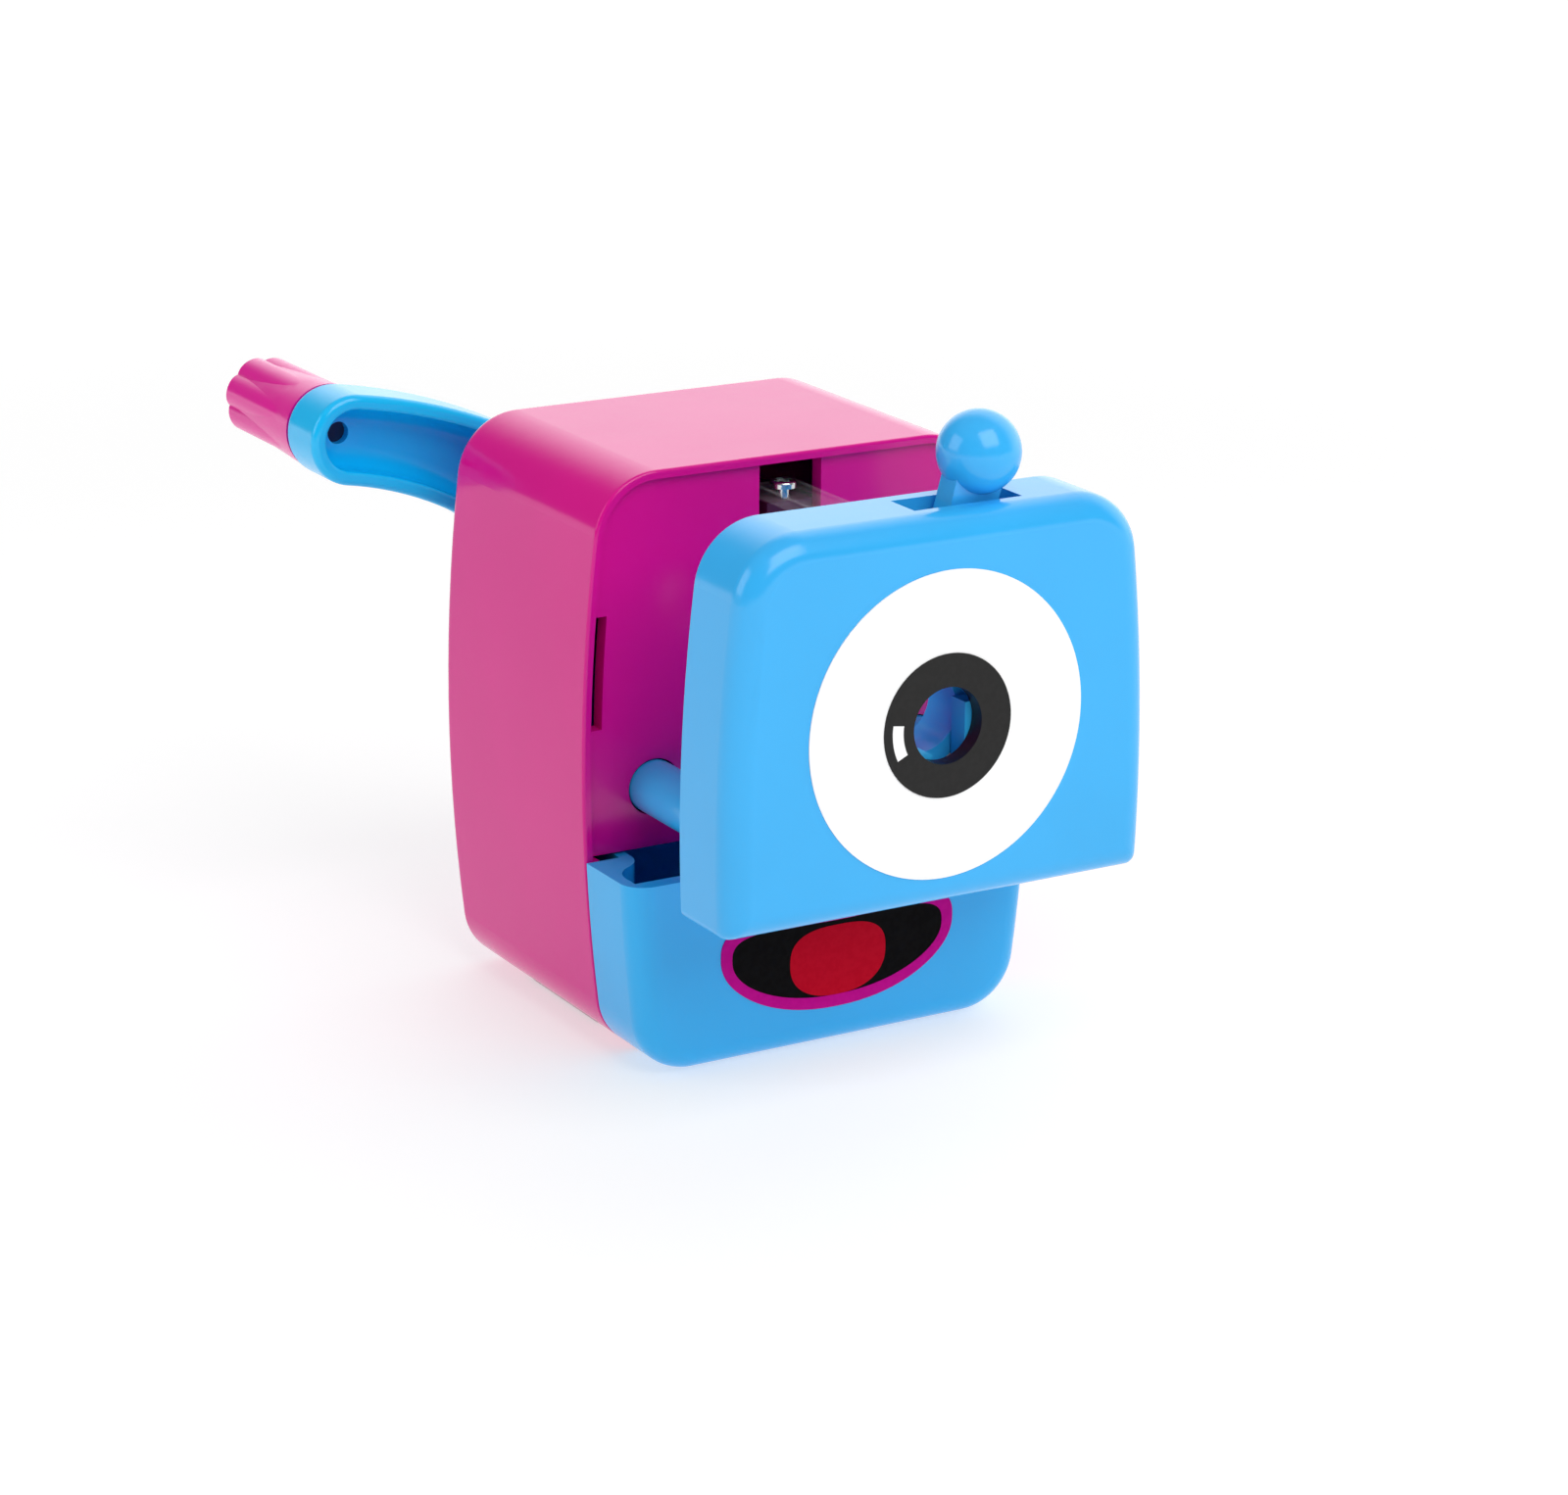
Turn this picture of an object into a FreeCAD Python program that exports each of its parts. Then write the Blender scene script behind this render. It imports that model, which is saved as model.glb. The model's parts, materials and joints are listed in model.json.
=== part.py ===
import FreeCAD, Part
import os
from math import asin, atan, cos, pi, radians, sin, sqrt, tan

# Hand-crank pencil sharpener with a spring-fed carriage, a three-jaw pencil clamp, a planetary
# helical cutter and a shavings drawer. Millimetres, +Z up, front towards -Y.
# The origin is the centre of the underside of the rubber base pad.

V = FreeCAD.Vector
OUT = "parts"

# ---- Case -------------------------------------------------------------------------------------
case_width = 56.0            # at the widest height
case_depth = 36.3
case_top_z = 70.5
case_bottom_z = 0.5          # the pad holds the case this far off the table
side_bulge = 2.7             # how far the sides bow out between bottom and top
corner_top_r = 8.0
corner_bottom_r = 7.4
case_wall = 1.8
rim_wall = 1.0               # the wall is thinner where the panel sits in it
back_wall = 2.0
axis_z = 46.5                # height of the pencil, cutter and crank axis
rim_fillet = 0.4
bearing_fit = 0.05
weld = 0.2                   # overlap of shapes that are fused
back_fillet = 1.6

pad_length = 42.0
pad_width = 22.0
pad_thickness = 1.0
pad_corner_r = 3.0
groove_pitch = 4.2
groove_width = 0.8
groove_depth = 0.3
groove_margin = 2.0
groove_count = 8

panel_recess = 0.8           # front panel sits this far behind the rim
panel_thickness = 2.0
panel_fit = 0.05
top_opening_half = 4.2
top_opening_bottom_z = 62.6
slit_width = 1.8
slit_low_z = 40.2
slit_high_z = 53.8

# ---- Carriage ---------------------------------------------------------------------------------
carriage_travel = 22.5       # from pulled out, as modelled, to pushed in
carriage_thickness = 11.0
carriage_gap = 0.35          # to the rim when pushed in
carriage_bottom_r = 1.2
carriage_wall = 1.6
carriage_front_wall = 1.8
front_fillet = 3.0
back_plate_thickness = 1.4
plate_fit = 0.05
pencil_bore_r = 4.5
bore_fit = 0.1               # wider behind the front ring
bore_relief = 0.5            # wider again in the front panel
hub_wall = 2.0
hub_reach = 4.5
face_disc_r = 18.0
iris_r = 8.4
inlay_depth = 0.35
disc_proud = 0.15
iris_proud = 0.25
sleeve_wall = 1.5
post_r = 2.5
post_side_inset = 7.5        # posts from the carriage's sides, top and bottom
post_top_inset = 6.5
post_low_x = 11.5
post_bottom_inset = 4.1
post_hole_r = 1.0
post_hole_depth = 5.0
screw_head_r = 2.2
screw_head = 0.9
screw_head_fit = 0.1
screw_head_sink = 0.6

# ---- Guide rods, springs and tongue -----------------------------------------------------------
rod_side_inset = 9.9         # from the case's widest half
rod_z = 32.2
rod_r = 3.25
rod_clearance = 0.2
rod_inside = 6.35            # how far the pulled-out rods reach behind the panel
rod_spigot_r = 2.0
rod_chamfer = 0.3
rod_screw_r = 1.1
rod_screw_depth = 5.0
rod_screw_grip = 4.5         # in the rod
rod_screw_head_r = 3.0
rod_screw_head = 1.2
end_screw_r = 1.0
end_screw_head_r = 2.4
washer_margin = 1.05
washer_thickness = 0.8
spring_wire_r = 0.28
spring_turns = 6
spring_gap = 0.15
spring_end_gap = 0.05
tongue_half_width = 3.0
tongue_thickness = 1.0
tongue_over_ring = 0.3
tongue_past_screw = 3.6
tongue_slot_half = 1.0
tongue_slot_behind = 1.0     # slot past the screw, pulled out and pushed in
tongue_slot_ahead = 1.2
tongue_rib = 0.3
tongue_rib_width = 0.7
tongue_head_half = 4.5
tongue_head = 0.8
tongue_slide = 0.2           # under the tongue and over it
guide_screw_r = 1.6
guide_screw_shank_r = 0.8
guide_screw_head = 0.8
guide_screw_depth = 3.1
guide_screw_over = 0.15      # head past the pad
guide_pad_front = 0.2        # pad's front behind the panel's

# ---- Clamp ------------------------------------------------------------------------------------
clamp_module = 0.75
cam_teeth = 24
jaw_teeth = 16
jaw_angles = {"jaw_upper_right": 30.0, "jaw_upper_left": 150.0, "jaw_lower": 270.0}
jaw_thickness = 2.8
jaw_gap = 0.2                # to the carriage's front wall
jaw_grip_r = 3.7             # half the opening across the closed jaws
jaw_finger_width = 3.7
jaw_tip_past = 1.6
jaw_tip_cut = 0.9
jaw_edge_top = 8.6           # heights over the pencil's axis, of the gripping edge and the back
jaw_back_low = 1.0
jaw_back_high = 7.5
jaw_hub_tuck = 0.2
jaw_hub_slope = 0.9
sector_back = 1.5
sector_spread = 0.62         # fall of the sector's edges per millimetre out
sector_past = 2.0
jaw_hub_r = 2.8
jaw_pin_r = 1.2
jaw_pin_seat = 0.8
cam_thickness = 2.4
cam_bore_fit = 0.06
tab_root = 1.5               # tab starts this far inside the pitch circle
tab_end = 17.0
tab_half = 2.6
clamp_wire_r = 0.25
clamp_turns = 2
clamp_coil_gap = 0.3         # to the hub
clamp_coil_front_gap = 0.15
clamp_coil_back_gap = 0.1
lever_angle = 75.0           # from +X, seen from the front
lever_width = 6.2
lever_thickness = 3.2
lever_lap = 1.2
foot_start = 11.6            # distances from the main axis
foot_end = 17.3
flare_end = 21.5
foot_flare = 0.9
lever_screw_reach = 14.2
lever_screw_r = 0.9
lever_screw_head_r = 1.7
lever_screw_head = 0.7
knob_r = 4.85
knob_rise = 5.07             # knob's centre above the carriage's top
lever_swing_down = 4.0       # degrees
lever_swing_up = 11.0
lever_slot_gap = 0.75
lever_slot_width = 5.0

# ---- Drawer -----------------------------------------------------------------------------------
drawer_top_z = 24.6
drawer_wall = 1.45
drawer_front_wall = 2.0
drawer_side_gap = 0.4
drawer_floor_gap = 0.3
drawer_back_gap = 0.9
drawer_sweep = 7.0           # length of the curve from the wide front to the tray
gap = 0.3                    # between pieces that move past each other

# ---- Cutter, gears and crank ------------------------------------------------------------------
ring_teeth = 36
pinion_teeth = 12
pitch_radius = 16.0          # of the ring gear, at the pinion's front end
cutter_tilt = 11.0           # cutter axis to crank axis
cutter_heading = -29.1       # where the cutter lies about the axis, from +X
tooth_share = 0.42           # tooth thickness over pitch; the rest is gap and backlash
addendum = 0.75              # in modules
dedendum = 1.0
flank = radians(20.0)
ring_outer_r = 17.9
ring_web = 2.3
ring_relief = 1.4
ring_relief_margin = 1.1     # past the pitch radius
pinion_behind_web = 2.65
ring_past_pinion = 0.8
pinion_width = 4.4
cutter_r = 6.2
cutter_gap = 0.3             # to the pinion
cutter_plate_gap = 0.8
cutter_flutes = 14
flute_depth = 0.7
flute_land = 0.3             # share of the pitch
cutter_sections = 6
cutter_twist = 70.0
cutter_axle_r = 1.2
axle_fit = 0.05
axle_front_seat = 1.6
axle_back_seat = 1.9
carrier_journal_r = 7.95
carrier_bore_r = 4.3
carrier_r = 9.0
carrier_arm_half = 4.5
carrier_plate = 2.3
carrier_web_gap = 0.25
carrier_arm = 1.4
carrier_arm_past = 3.0       # past the cutter's axle
carrier_end_gap = 1.65       # to the rear bush; the clip lies in it
clip_gap = 0.35
clip_thickness = 0.8
clip_width = 1.6
clip_mouth_half = 1.6
pencil_tip_r = 0.9
shaft_r = 3.0
shaft_seat = 1.3
square_side = 4.2
square_seat = 0.5            # square starts this far before the arm
crank_screw_r = 1.0
crank_screw_depth = 4.0
crank_screw_head_r = 3.4
crank_screw_head = 1.6
bush_outer_r = 5.0
bush_flange_r = 7.0
bush_flange = 1.0
boss_r = 8.0
boss_length = 4.5
gear_screw_r = 13.2
gear_screw_sink = 0.5
gear_screw_hole_r = 1.1

crank_radius = 40.2          # the arm's end clears the table
crank_angle = 150.6          # from +X, seen from the front
arm_gap = 8.85               # case back to arm
arm_thickness = 8.0
arm_end_r = 5.65
arm_outer_r = 75.0           # of the arm's two long bowed sides
arm_inner_r = 44.0
arm_hub_r = 8.2
arm_rim = 1.8
arm_pocket = 5.2
arm_front_fillet = 0.9
arm_back_fillet = 0.7
arm_floor_fillet = 3.0
arm_rim_fillet = 0.5
arm_boss_r = 7.0
arm_boss_gap = 0.6           # to the case's bearing boss
arm_screw_recess = 2.6
arm_screw_recess_r = 3.6
handle_gap = 0.3
handle_length = 19.3
handle_r = 5.5               # at the arm; the core shrinks to the notches' radius
handle_end_r = 4.5
handle_lobes = 7
handle_turn = 11.5           # degrees, of the first lobe from the arm's direction
lobe_r = 2.4
lobe_ring_r = 2.9
handle_round = 1.0
handle_pin_sink = 0.8
pin_neck_r = 1.4
pin_neck_sink = 1.2
pin_r = 2.2
pin_head_r = 3.2
pin_head = 1.6
pin_fit = 0.06

# ---- Worked out from the sizes above ----------------------------------------------------------
front_y = -case_depth / 2
back_y = case_depth / 2
inner_back_y = back_y - back_wall
side_mid_z = (case_bottom_z + case_top_z) / 2
side_half = (case_top_z - case_bottom_z) / 2
side_radius = (side_half**2 + side_bulge**2) / (2 * side_bulge)
floor_z = case_bottom_z + case_wall
roof_z = case_top_z - case_wall
panel_front_y = front_y + panel_recess
panel_back_y = panel_front_y + panel_thickness
pad_recess = pad_thickness - case_bottom_z
hub_outer_r = pencil_bore_r + hub_wall
sleeve_r = pencil_bore_r + sleeve_wall
rod_x = case_width / 2 - rod_side_inset
rod_end_y = panel_back_y + rod_inside
washer_r = rod_r + washer_margin
tongue_bottom_z = axis_z + ring_outer_r + tongue_over_ring
tongue_top_z = tongue_bottom_z + tongue_thickness
guide_pad_y = panel_front_y + guide_pad_front
guide_screw_y = guide_pad_y + guide_screw_r - guide_screw_over
tongue_end_y = guide_screw_y + tongue_past_screw
panel_bottom_z = drawer_top_z + gap
carriage_back_y = front_y - carriage_gap - carriage_travel
carriage_front_y = carriage_back_y - carriage_thickness
carriage_bottom_z = drawer_top_z + gap
carriage_inner_y = carriage_front_y + carriage_front_wall
plate_front_y = carriage_back_y - back_plate_thickness
jaw_y = carriage_inner_y + jaw_gap
cam_y = jaw_y + jaw_thickness + gap
lever_back_y = cam_y + lever_thickness
drawer_front_y = front_y - carriage_gap - carriage_thickness
shoulder_y = front_y - gap
web_back_y = panel_back_y + ring_web
pinion_front_y = web_back_y + pinion_behind_web
ring_back_y = pinion_front_y + pinion_width + ring_past_pinion
cutter_front_y = pinion_front_y + pinion_width + cutter_gap
carrier_back_y = inner_back_y - bush_flange - carrier_end_gap
carrier_plate_y = carrier_back_y - carrier_plate
shaft_start_y = carrier_back_y - shaft_seat
cutter_back_y = carrier_plate_y - cutter_plate_gap
arm_front_y = back_y + arm_gap
arm_back_y = arm_front_y + arm_thickness
arm_boss_y = back_y + boss_length + arm_boss_gap
handle_front_y = arm_back_y + handle_gap
handle_back_y = handle_front_y + handle_length
pin_head_y = handle_back_y - pin_head - handle_pin_sink
ring_module = 2 * pitch_radius / ring_teeth
ring_cone = atan(sin(radians(cutter_tilt)) / (cos(radians(cutter_tilt)) - pinion_teeth / ring_teeth))
pinion_cone = ring_cone - radians(cutter_tilt)
apex_y = pinion_front_y + pitch_radius / tan(ring_cone)
clamp_centre = clamp_module * (cam_teeth + jaw_teeth) / 2
cam_pitch_r = clamp_module * cam_teeth / 2
jaw_pitch_r = clamp_module * jaw_teeth / 2
rods = {"left": -rod_x, "right": rod_x}
post_high_x = case_width / 2 - post_side_inset
post_high_z = case_top_z - post_top_inset
post_low_z = carriage_bottom_z + post_bottom_inset
plate_posts = [
    (post_high_x, post_high_z), (-post_high_x, post_high_z),
    (post_low_x, post_low_z), (-post_low_x, post_low_z),
]
lever_rise = case_top_z - axis_z
knob_reach = (lever_rise + knob_rise) / sin(radians(lever_angle))
lever_low_x = lever_rise / tan(radians(lever_angle + lever_swing_up)) - lever_width / 2
lever_high_x = lever_rise / tan(radians(lever_angle - lever_swing_down)) + lever_width / 2
gear_screw_angles = [62.0, 118.0, 270.0]
AXIS = V(0, 0, axis_z)
BACK = V(0, 1, 0)
FRONT = V(0, -1, 0)


# ---- Helpers ----------------------------------------------------------------------------------
def cylinder(radius, y0, y1, x=0.0, z=axis_z):
    """Cylinder along Y from y0 to y1."""
    return Part.makeCylinder(radius, y1 - y0, V(x, y0, z), BACK)


def box(x0, x1, y0, y1, z0, z1):
    """Box between two corners."""
    return Part.makeBox(x1 - x0, y1 - y0, z1 - z0, V(x0, y0, z0))


def about_axis(shape, angle):
    """Copy of a shape turned about the main axis, anticlockwise seen from the front."""
    turned = shape.copy()
    turned.rotate(AXIS, FRONT, angle)
    return turned


def polar(radius, angle):
    """Point at a radius and an angle from +X about the main axis, as (x, z)."""
    return radius * cos(radians(angle)), axis_z + radius * sin(radians(angle))


def half_width(z, inset=0.0):
    """Half width of the case at height z; each side is one large arc."""
    return case_width / 2 - side_radius + sqrt((side_radius - inset) ** 2 - (z - side_mid_z) ** 2)


def flat_edges(shape, y):
    """Edges of a shape that lie in the plane at y."""
    found = []
    for edge in shape.Edges:
        bounds = edge.BoundBox
        if bounds.YLength < 1e-4 and abs(bounds.YMin - y) < 1e-4:
            found.append(edge)
    return found


def edges_along(shape, wire):
    """Edges of a shape whose middles lie on a wire."""
    found = []
    for edge in shape.Edges:
        middle = edge.valueAt((edge.FirstParameter + edge.LastParameter) / 2)
        if wire.distToShape(Part.Vertex(middle))[0] < 1e-4:
            found.append(edge)
    return found


def case_slab(z0, z1, y0, y1, inset=0.0, top_r=0.0, bottom_r=0.0):
    """Slab with the case's bowed outline between two heights, with rounded corners."""
    zm = (z0 + z1) / 2
    low, mid, high = (half_width(z, inset) for z in (z0, zm, z1))
    right = Part.Arc(V(low, y0, z0), V(mid, y0, zm), V(high, y0, z1)).toShape()
    top = Part.LineSegment(V(high, y0, z1), V(-high, y0, z1)).toShape()
    left = Part.Arc(V(-high, y0, z1), V(-mid, y0, zm), V(-low, y0, z0)).toShape()
    bottom = Part.LineSegment(V(-low, y0, z0), V(low, y0, z0)).toShape()
    slab = Part.Face(Part.Wire([right, top, left, bottom])).extrude(V(0, y1 - y0, 0))
    for z, radius in ((z0, bottom_r), (z1, top_r)):
        corners = []
        for edge in slab.Edges:
            bounds = edge.BoundBox
            along_y = bounds.XLength < 1e-4 and bounds.ZLength < 1e-4
            if along_y and abs(bounds.ZMin - z) < 1e-4:
                corners.append(edge)
        if radius:
            slab = slab.makeFillet(radius, corners)
    return slab


def screw(head_r, head, shank_r, shank, seat, direction):
    """Cross-head screw: its head stands on seat, and its shank runs along direction."""
    recess = 0.55 * head
    blade = 0.24 * head_r
    reach = 0.7 * head_r
    body = Part.makeCylinder(head_r, head, V(0, 0, -head))
    body = body.makeFillet(0.4 * head, [body.Edges[2]])
    body = body.fuse(Part.makeCylinder(shank_r, shank)).removeSplitter()
    for half_x, half_y in ((reach, blade), (blade, reach)):
        slot = Part.makeBox(2 * half_x, 2 * half_y, recess, V(-half_x, -half_y, -head))
        body = body.cut(slot)
    body.Placement = FreeCAD.Placement(seat, FreeCAD.Rotation(V(0, 0, 1), direction))
    return body


def teeth_points(count, pitch_r, tip_r, root_r, share, first_angle):
    """Corners of a ring of straight-flanked teeth, as (x, z) about the origin."""
    outward = 1 if tip_r > root_r else -1
    thickness = share * 2 * pi * pitch_r / count
    points = []
    for index in range(count):
        centre = first_angle + 2 * pi * index / count
        for radius, side in ((root_r, -1), (tip_r, -1), (tip_r, 1), (root_r, 1)):
            half = thickness / 2 - outward * (radius - pitch_r) * tan(flank)
            angle = centre + side * half / radius
            points.append((radius * cos(angle), radius * sin(angle)))
    return points


def outline(points, y, x=0.0, z=axis_z, scale=1.0):
    """Closed wire through (x, z) points in the plane at y."""
    ring = [V(x + scale * px, y, z + scale * pz) for px, pz in points]
    return Part.makePolygon(ring + ring[:1])


def spur_gear(count, first_angle, y0, y1, x=0.0, z=axis_z):
    """External spur gear of the clamp's module, between y0 and y1."""
    pitch_r = clamp_module * count / 2
    tip_r = pitch_r + addendum * clamp_module
    root_r = pitch_r - dedendum * clamp_module
    points = teeth_points(count, pitch_r, tip_r, root_r, tooth_share, first_angle)
    return Part.Face(outline(points, y0, x, z)).extrude(V(0, y1 - y0, 0))


def bevel_solid(points, y0, y1, y_reference):
    """Solid whose outline shrinks towards the common apex; points are true at y_reference."""
    wires = []
    for y in (y0, y1):
        scale = (apex_y - y) / (apex_y - y_reference)
        wires.append(outline(points, y, scale=scale))
    return Part.makeLoft(wires, True, True)


def tilted(shape):
    """Copy of a shape built along the main axis, laid on the cutter's inclined axis."""
    turned = shape.copy()
    turned.rotate(V(0, apex_y, axis_z), V(1, 0, 0), -cutter_tilt)
    turned.rotate(AXIS, FRONT, cutter_heading - 90.0)
    return turned


def axial_y(y):
    """Y along the straightened cutter axis for a point that ends at y once inclined."""
    return apex_y - (apex_y - y) / cos(radians(cutter_tilt))


def coil(radius, wire_r, length, turns, start, direction):
    """Helical spring wire as one swept solid."""
    helix = Part.makeHelix(length / turns, length, radius)
    section = Part.Wire(Part.makeCircle(wire_r, V(radius, 0, 0), V(0, 1, 0)))
    spring = Part.Wire(helix).makePipeShell([section], True, True)
    spring.Placement = FreeCAD.Placement(start, FreeCAD.Rotation(V(0, 0, 1), direction))
    return spring


# ---- Housing ----------------------------------------------------------------------------------
def make_body_shell():
    """Case open at the front, with a bearing boss on its back and a recess for the pad."""
    shell = case_slab(case_bottom_z, case_top_z, front_y, back_y, 0.0, corner_top_r, corner_bottom_r)
    shell = shell.makeFillet(back_fillet, flat_edges(shell, back_y))
    shell = shell.makeFillet(rim_fillet, flat_edges(shell, front_y))
    hollow = case_slab(
        floor_z, roof_z, front_y - 1, inner_back_y, case_wall,
        corner_top_r - case_wall, corner_bottom_r - case_wall,
    )
    seat = case_slab(
        panel_bottom_z - gap, case_top_z - rim_wall, front_y - 1, panel_back_y, rim_wall,
        corner_top_r - rim_wall, 0.0,
    )
    shell = shell.fuse(cylinder(boss_r, inner_back_y, back_y + boss_length)).cut(hollow).cut(seat)
    shell = shell.cut(cylinder(bush_outer_r, inner_back_y - 1, back_y + boss_length + 1))
    return shell.cut(pad_block(0.0, case_bottom_z + pad_recess)).removeSplitter()


def pad_block(z0, z1):
    """Rounded block of the pad's outline between two heights."""
    block = box(-pad_length / 2, pad_length / 2, -pad_width / 2, pad_width / 2, z0, z1)
    upright = [edge for edge in block.Edges if edge.BoundBox.ZLength > (z1 - z0) / 2]
    return block.makeFillet(pad_corner_r, upright)


def make_base_pad():
    """Rubber pad with shallow cross grooves, set into the case's underside."""
    pad = pad_block(0.0, pad_thickness)
    reach = pad_width / 2 - groove_margin
    for index in range(groove_count):
        x = (index - (groove_count - 1) / 2) * groove_pitch
        pad = pad.cut(box(x - groove_width / 2, x + groove_width / 2, -reach, reach, -1, groove_depth))
    return pad


def make_front_panel():
    """Panel that closes the case above the drawer and guides the rods."""
    inset = rim_wall + panel_fit
    panel = case_slab(
        panel_bottom_z, case_top_z - inset, panel_front_y, panel_back_y, inset,
        corner_top_r - inset, 0.0,
    )
    panel = panel.cut(cylinder(pencil_bore_r + bore_relief, panel_front_y - 1, panel_back_y + 1))
    for x in rods.values():
        panel = panel.cut(cylinder(rod_r + rod_clearance, panel_front_y - 1, panel_back_y + 1, x, rod_z))
    panel = panel.cut(box(
        -top_opening_half, top_opening_half, panel_front_y - 1, panel_back_y + 1,
        top_opening_bottom_z, case_top_z,
    ))
    strips = case_slab(slit_low_z, slit_high_z, panel_front_y - 1, panel_back_y + 1)
    middle = case_slab(
        slit_low_z - 1, slit_high_z + 1, panel_front_y - 2, panel_back_y + 2, inset + slit_width,
    )
    panel = panel.cut(strips.cut(middle))
    sink_y = panel_front_y + gear_screw_sink
    for angle in gear_screw_angles:
        x, z = polar(gear_screw_r, angle)
        panel = panel.cut(cylinder(screw_head_r + screw_head_fit, panel_front_y - 1, sink_y, x, z))
        panel = panel.cut(cylinder(gear_screw_hole_r, panel_front_y, panel_back_y + 1, x, z))
    return panel


def make_ring_gear():
    """Internal bevel ring with a front web that holds the carrier's journal."""
    gear = cylinder(ring_outer_r, panel_back_y, ring_back_y)
    pad_top_z = tongue_bottom_z - tongue_slide
    pad = box(-tongue_half_width, tongue_half_width, panel_back_y, web_back_y, axis_z, pad_top_z)
    lip_z = top_opening_bottom_z + panel_fit
    lip = box(-tongue_half_width, tongue_half_width, guide_pad_y, web_back_y, lip_z, pad_top_z)
    gear = gear.fuse([pad, lip]).removeSplitter()
    gear = gear.cut(cylinder(carrier_journal_r + bearing_fit, panel_back_y - 1, web_back_y + 1))
    relief_y = web_back_y + ring_relief
    gear = gear.cut(cylinder(pitch_radius + ring_relief_margin, web_back_y, relief_y))
    points = teeth_points(
        ring_teeth, pitch_radius, pitch_radius - addendum * ring_module,
        pitch_radius + dedendum * ring_module, tooth_share, pi / 2 + pi / ring_teeth,
    )
    cavity = bevel_solid(points, relief_y - 0.1, ring_back_y + 1, pinion_front_y)
    gear = gear.cut(about_axis(cavity, cutter_heading - 90.0))
    for angle in gear_screw_angles:
        x, z = polar(gear_screw_r, angle)
        gear = gear.cut(cylinder(gear_screw_hole_r, panel_back_y - 1, web_back_y + 1, x, z))
    shank = Part.makeCylinder(
        guide_screw_shank_r, guide_screw_depth, V(0, guide_screw_y, tongue_top_z + tongue_slide), V(0, 0, -1),
    )
    return gear.cut(shank)


def make_gear_screws():
    """Three screws that hold the ring gear to the front panel."""
    screws = []
    for angle in gear_screw_angles:
        x, z = polar(gear_screw_r, angle)
        seat = V(x, panel_front_y + gear_screw_sink, z)
        shank = panel_thickness - gear_screw_sink + ring_web
        screws.append(screw(screw_head_r, screw_head, gear_screw_hole_r, shank, seat, BACK))
    return Part.makeCompound(screws)


def make_tongue_screw():
    """Upright screw that guides the slotted tongue and stops the carriage."""
    seat = V(0, guide_screw_y, tongue_top_z + tongue_slide)
    return screw(
        guide_screw_r, guide_screw_head, guide_screw_shank_r, guide_screw_depth, seat, V(0, 0, -1),
    )


def make_rear_bush():
    """Flanged bearing bush for the crank shaft."""
    bush = cylinder(bush_outer_r, inner_back_y, back_y + boss_length)
    bush = bush.fuse(cylinder(bush_flange_r, inner_back_y - bush_flange, inner_back_y)).removeSplitter()
    return bush.cut(cylinder(shaft_r + bearing_fit, inner_back_y - 2, back_y + boss_length + 1))


def make_feed_spring(x):
    """Feed spring, shown pressed between the panel and a rod's end washer."""
    radius = rod_r + spring_gap + spring_wire_r
    start = panel_back_y + spring_wire_r + spring_end_gap
    length = rod_end_y - spring_wire_r - spring_end_gap - start
    return coil(radius, spring_wire_r, length, spring_turns, V(x, start, rod_z), BACK)


# ---- Drawer -----------------------------------------------------------------------------------
def make_drawer():
    """Shavings drawer: a wide open-topped front and a narrower tray behind it."""
    wide = case_slab(case_bottom_z, drawer_top_z, drawer_front_y, shoulder_y, 0.0, 0.0, corner_bottom_r)
    front = []
    for edge in flat_edges(wide, drawer_front_y):
        if edge.BoundBox.ZMax < drawer_top_z - 1e-3 or edge.BoundBox.ZLength > 1:
            front.append(edge)
    wide = wide.makeFillet(front_fillet, front)
    inset = case_wall + drawer_side_gap
    tray_floor = floor_z + drawer_floor_gap
    tray_half = half_width(tray_floor, inset)
    tray_end = inner_back_y - drawer_back_gap
    tray = case_slab(
        tray_floor, drawer_top_z, shoulder_y - drawer_wall, tray_end, inset, 0.0, corner_bottom_r - inset,
    )
    tray = tray.common(box(-tray_half, tray_half, front_y - case_depth, back_y, 0, case_top_z))
    shell = wide.fuse(tray).removeSplitter()
    cavity_floor = tray_floor + drawer_wall
    inner_half = tray_half - drawer_wall
    cavity = case_slab(
        cavity_floor, case_top_z, drawer_front_y + drawer_front_wall, shoulder_y,
        drawer_wall, 0.0, corner_bottom_r - drawer_wall,
    )
    cavity = cavity.common(drawer_plan(half_width(drawer_top_z, drawer_wall), inner_half))
    inset += drawer_wall
    tray_in = case_slab(
        cavity_floor, case_top_z, shoulder_y - drawer_wall, tray_end - drawer_wall,
        inset, 0.0, corner_bottom_r - inset,
    )
    tray_in = tray_in.common(box(-inner_half, inner_half, front_y - case_depth, back_y, 0, case_top_z))
    return shell.cut(cavity).cut(tray_in)


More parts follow.
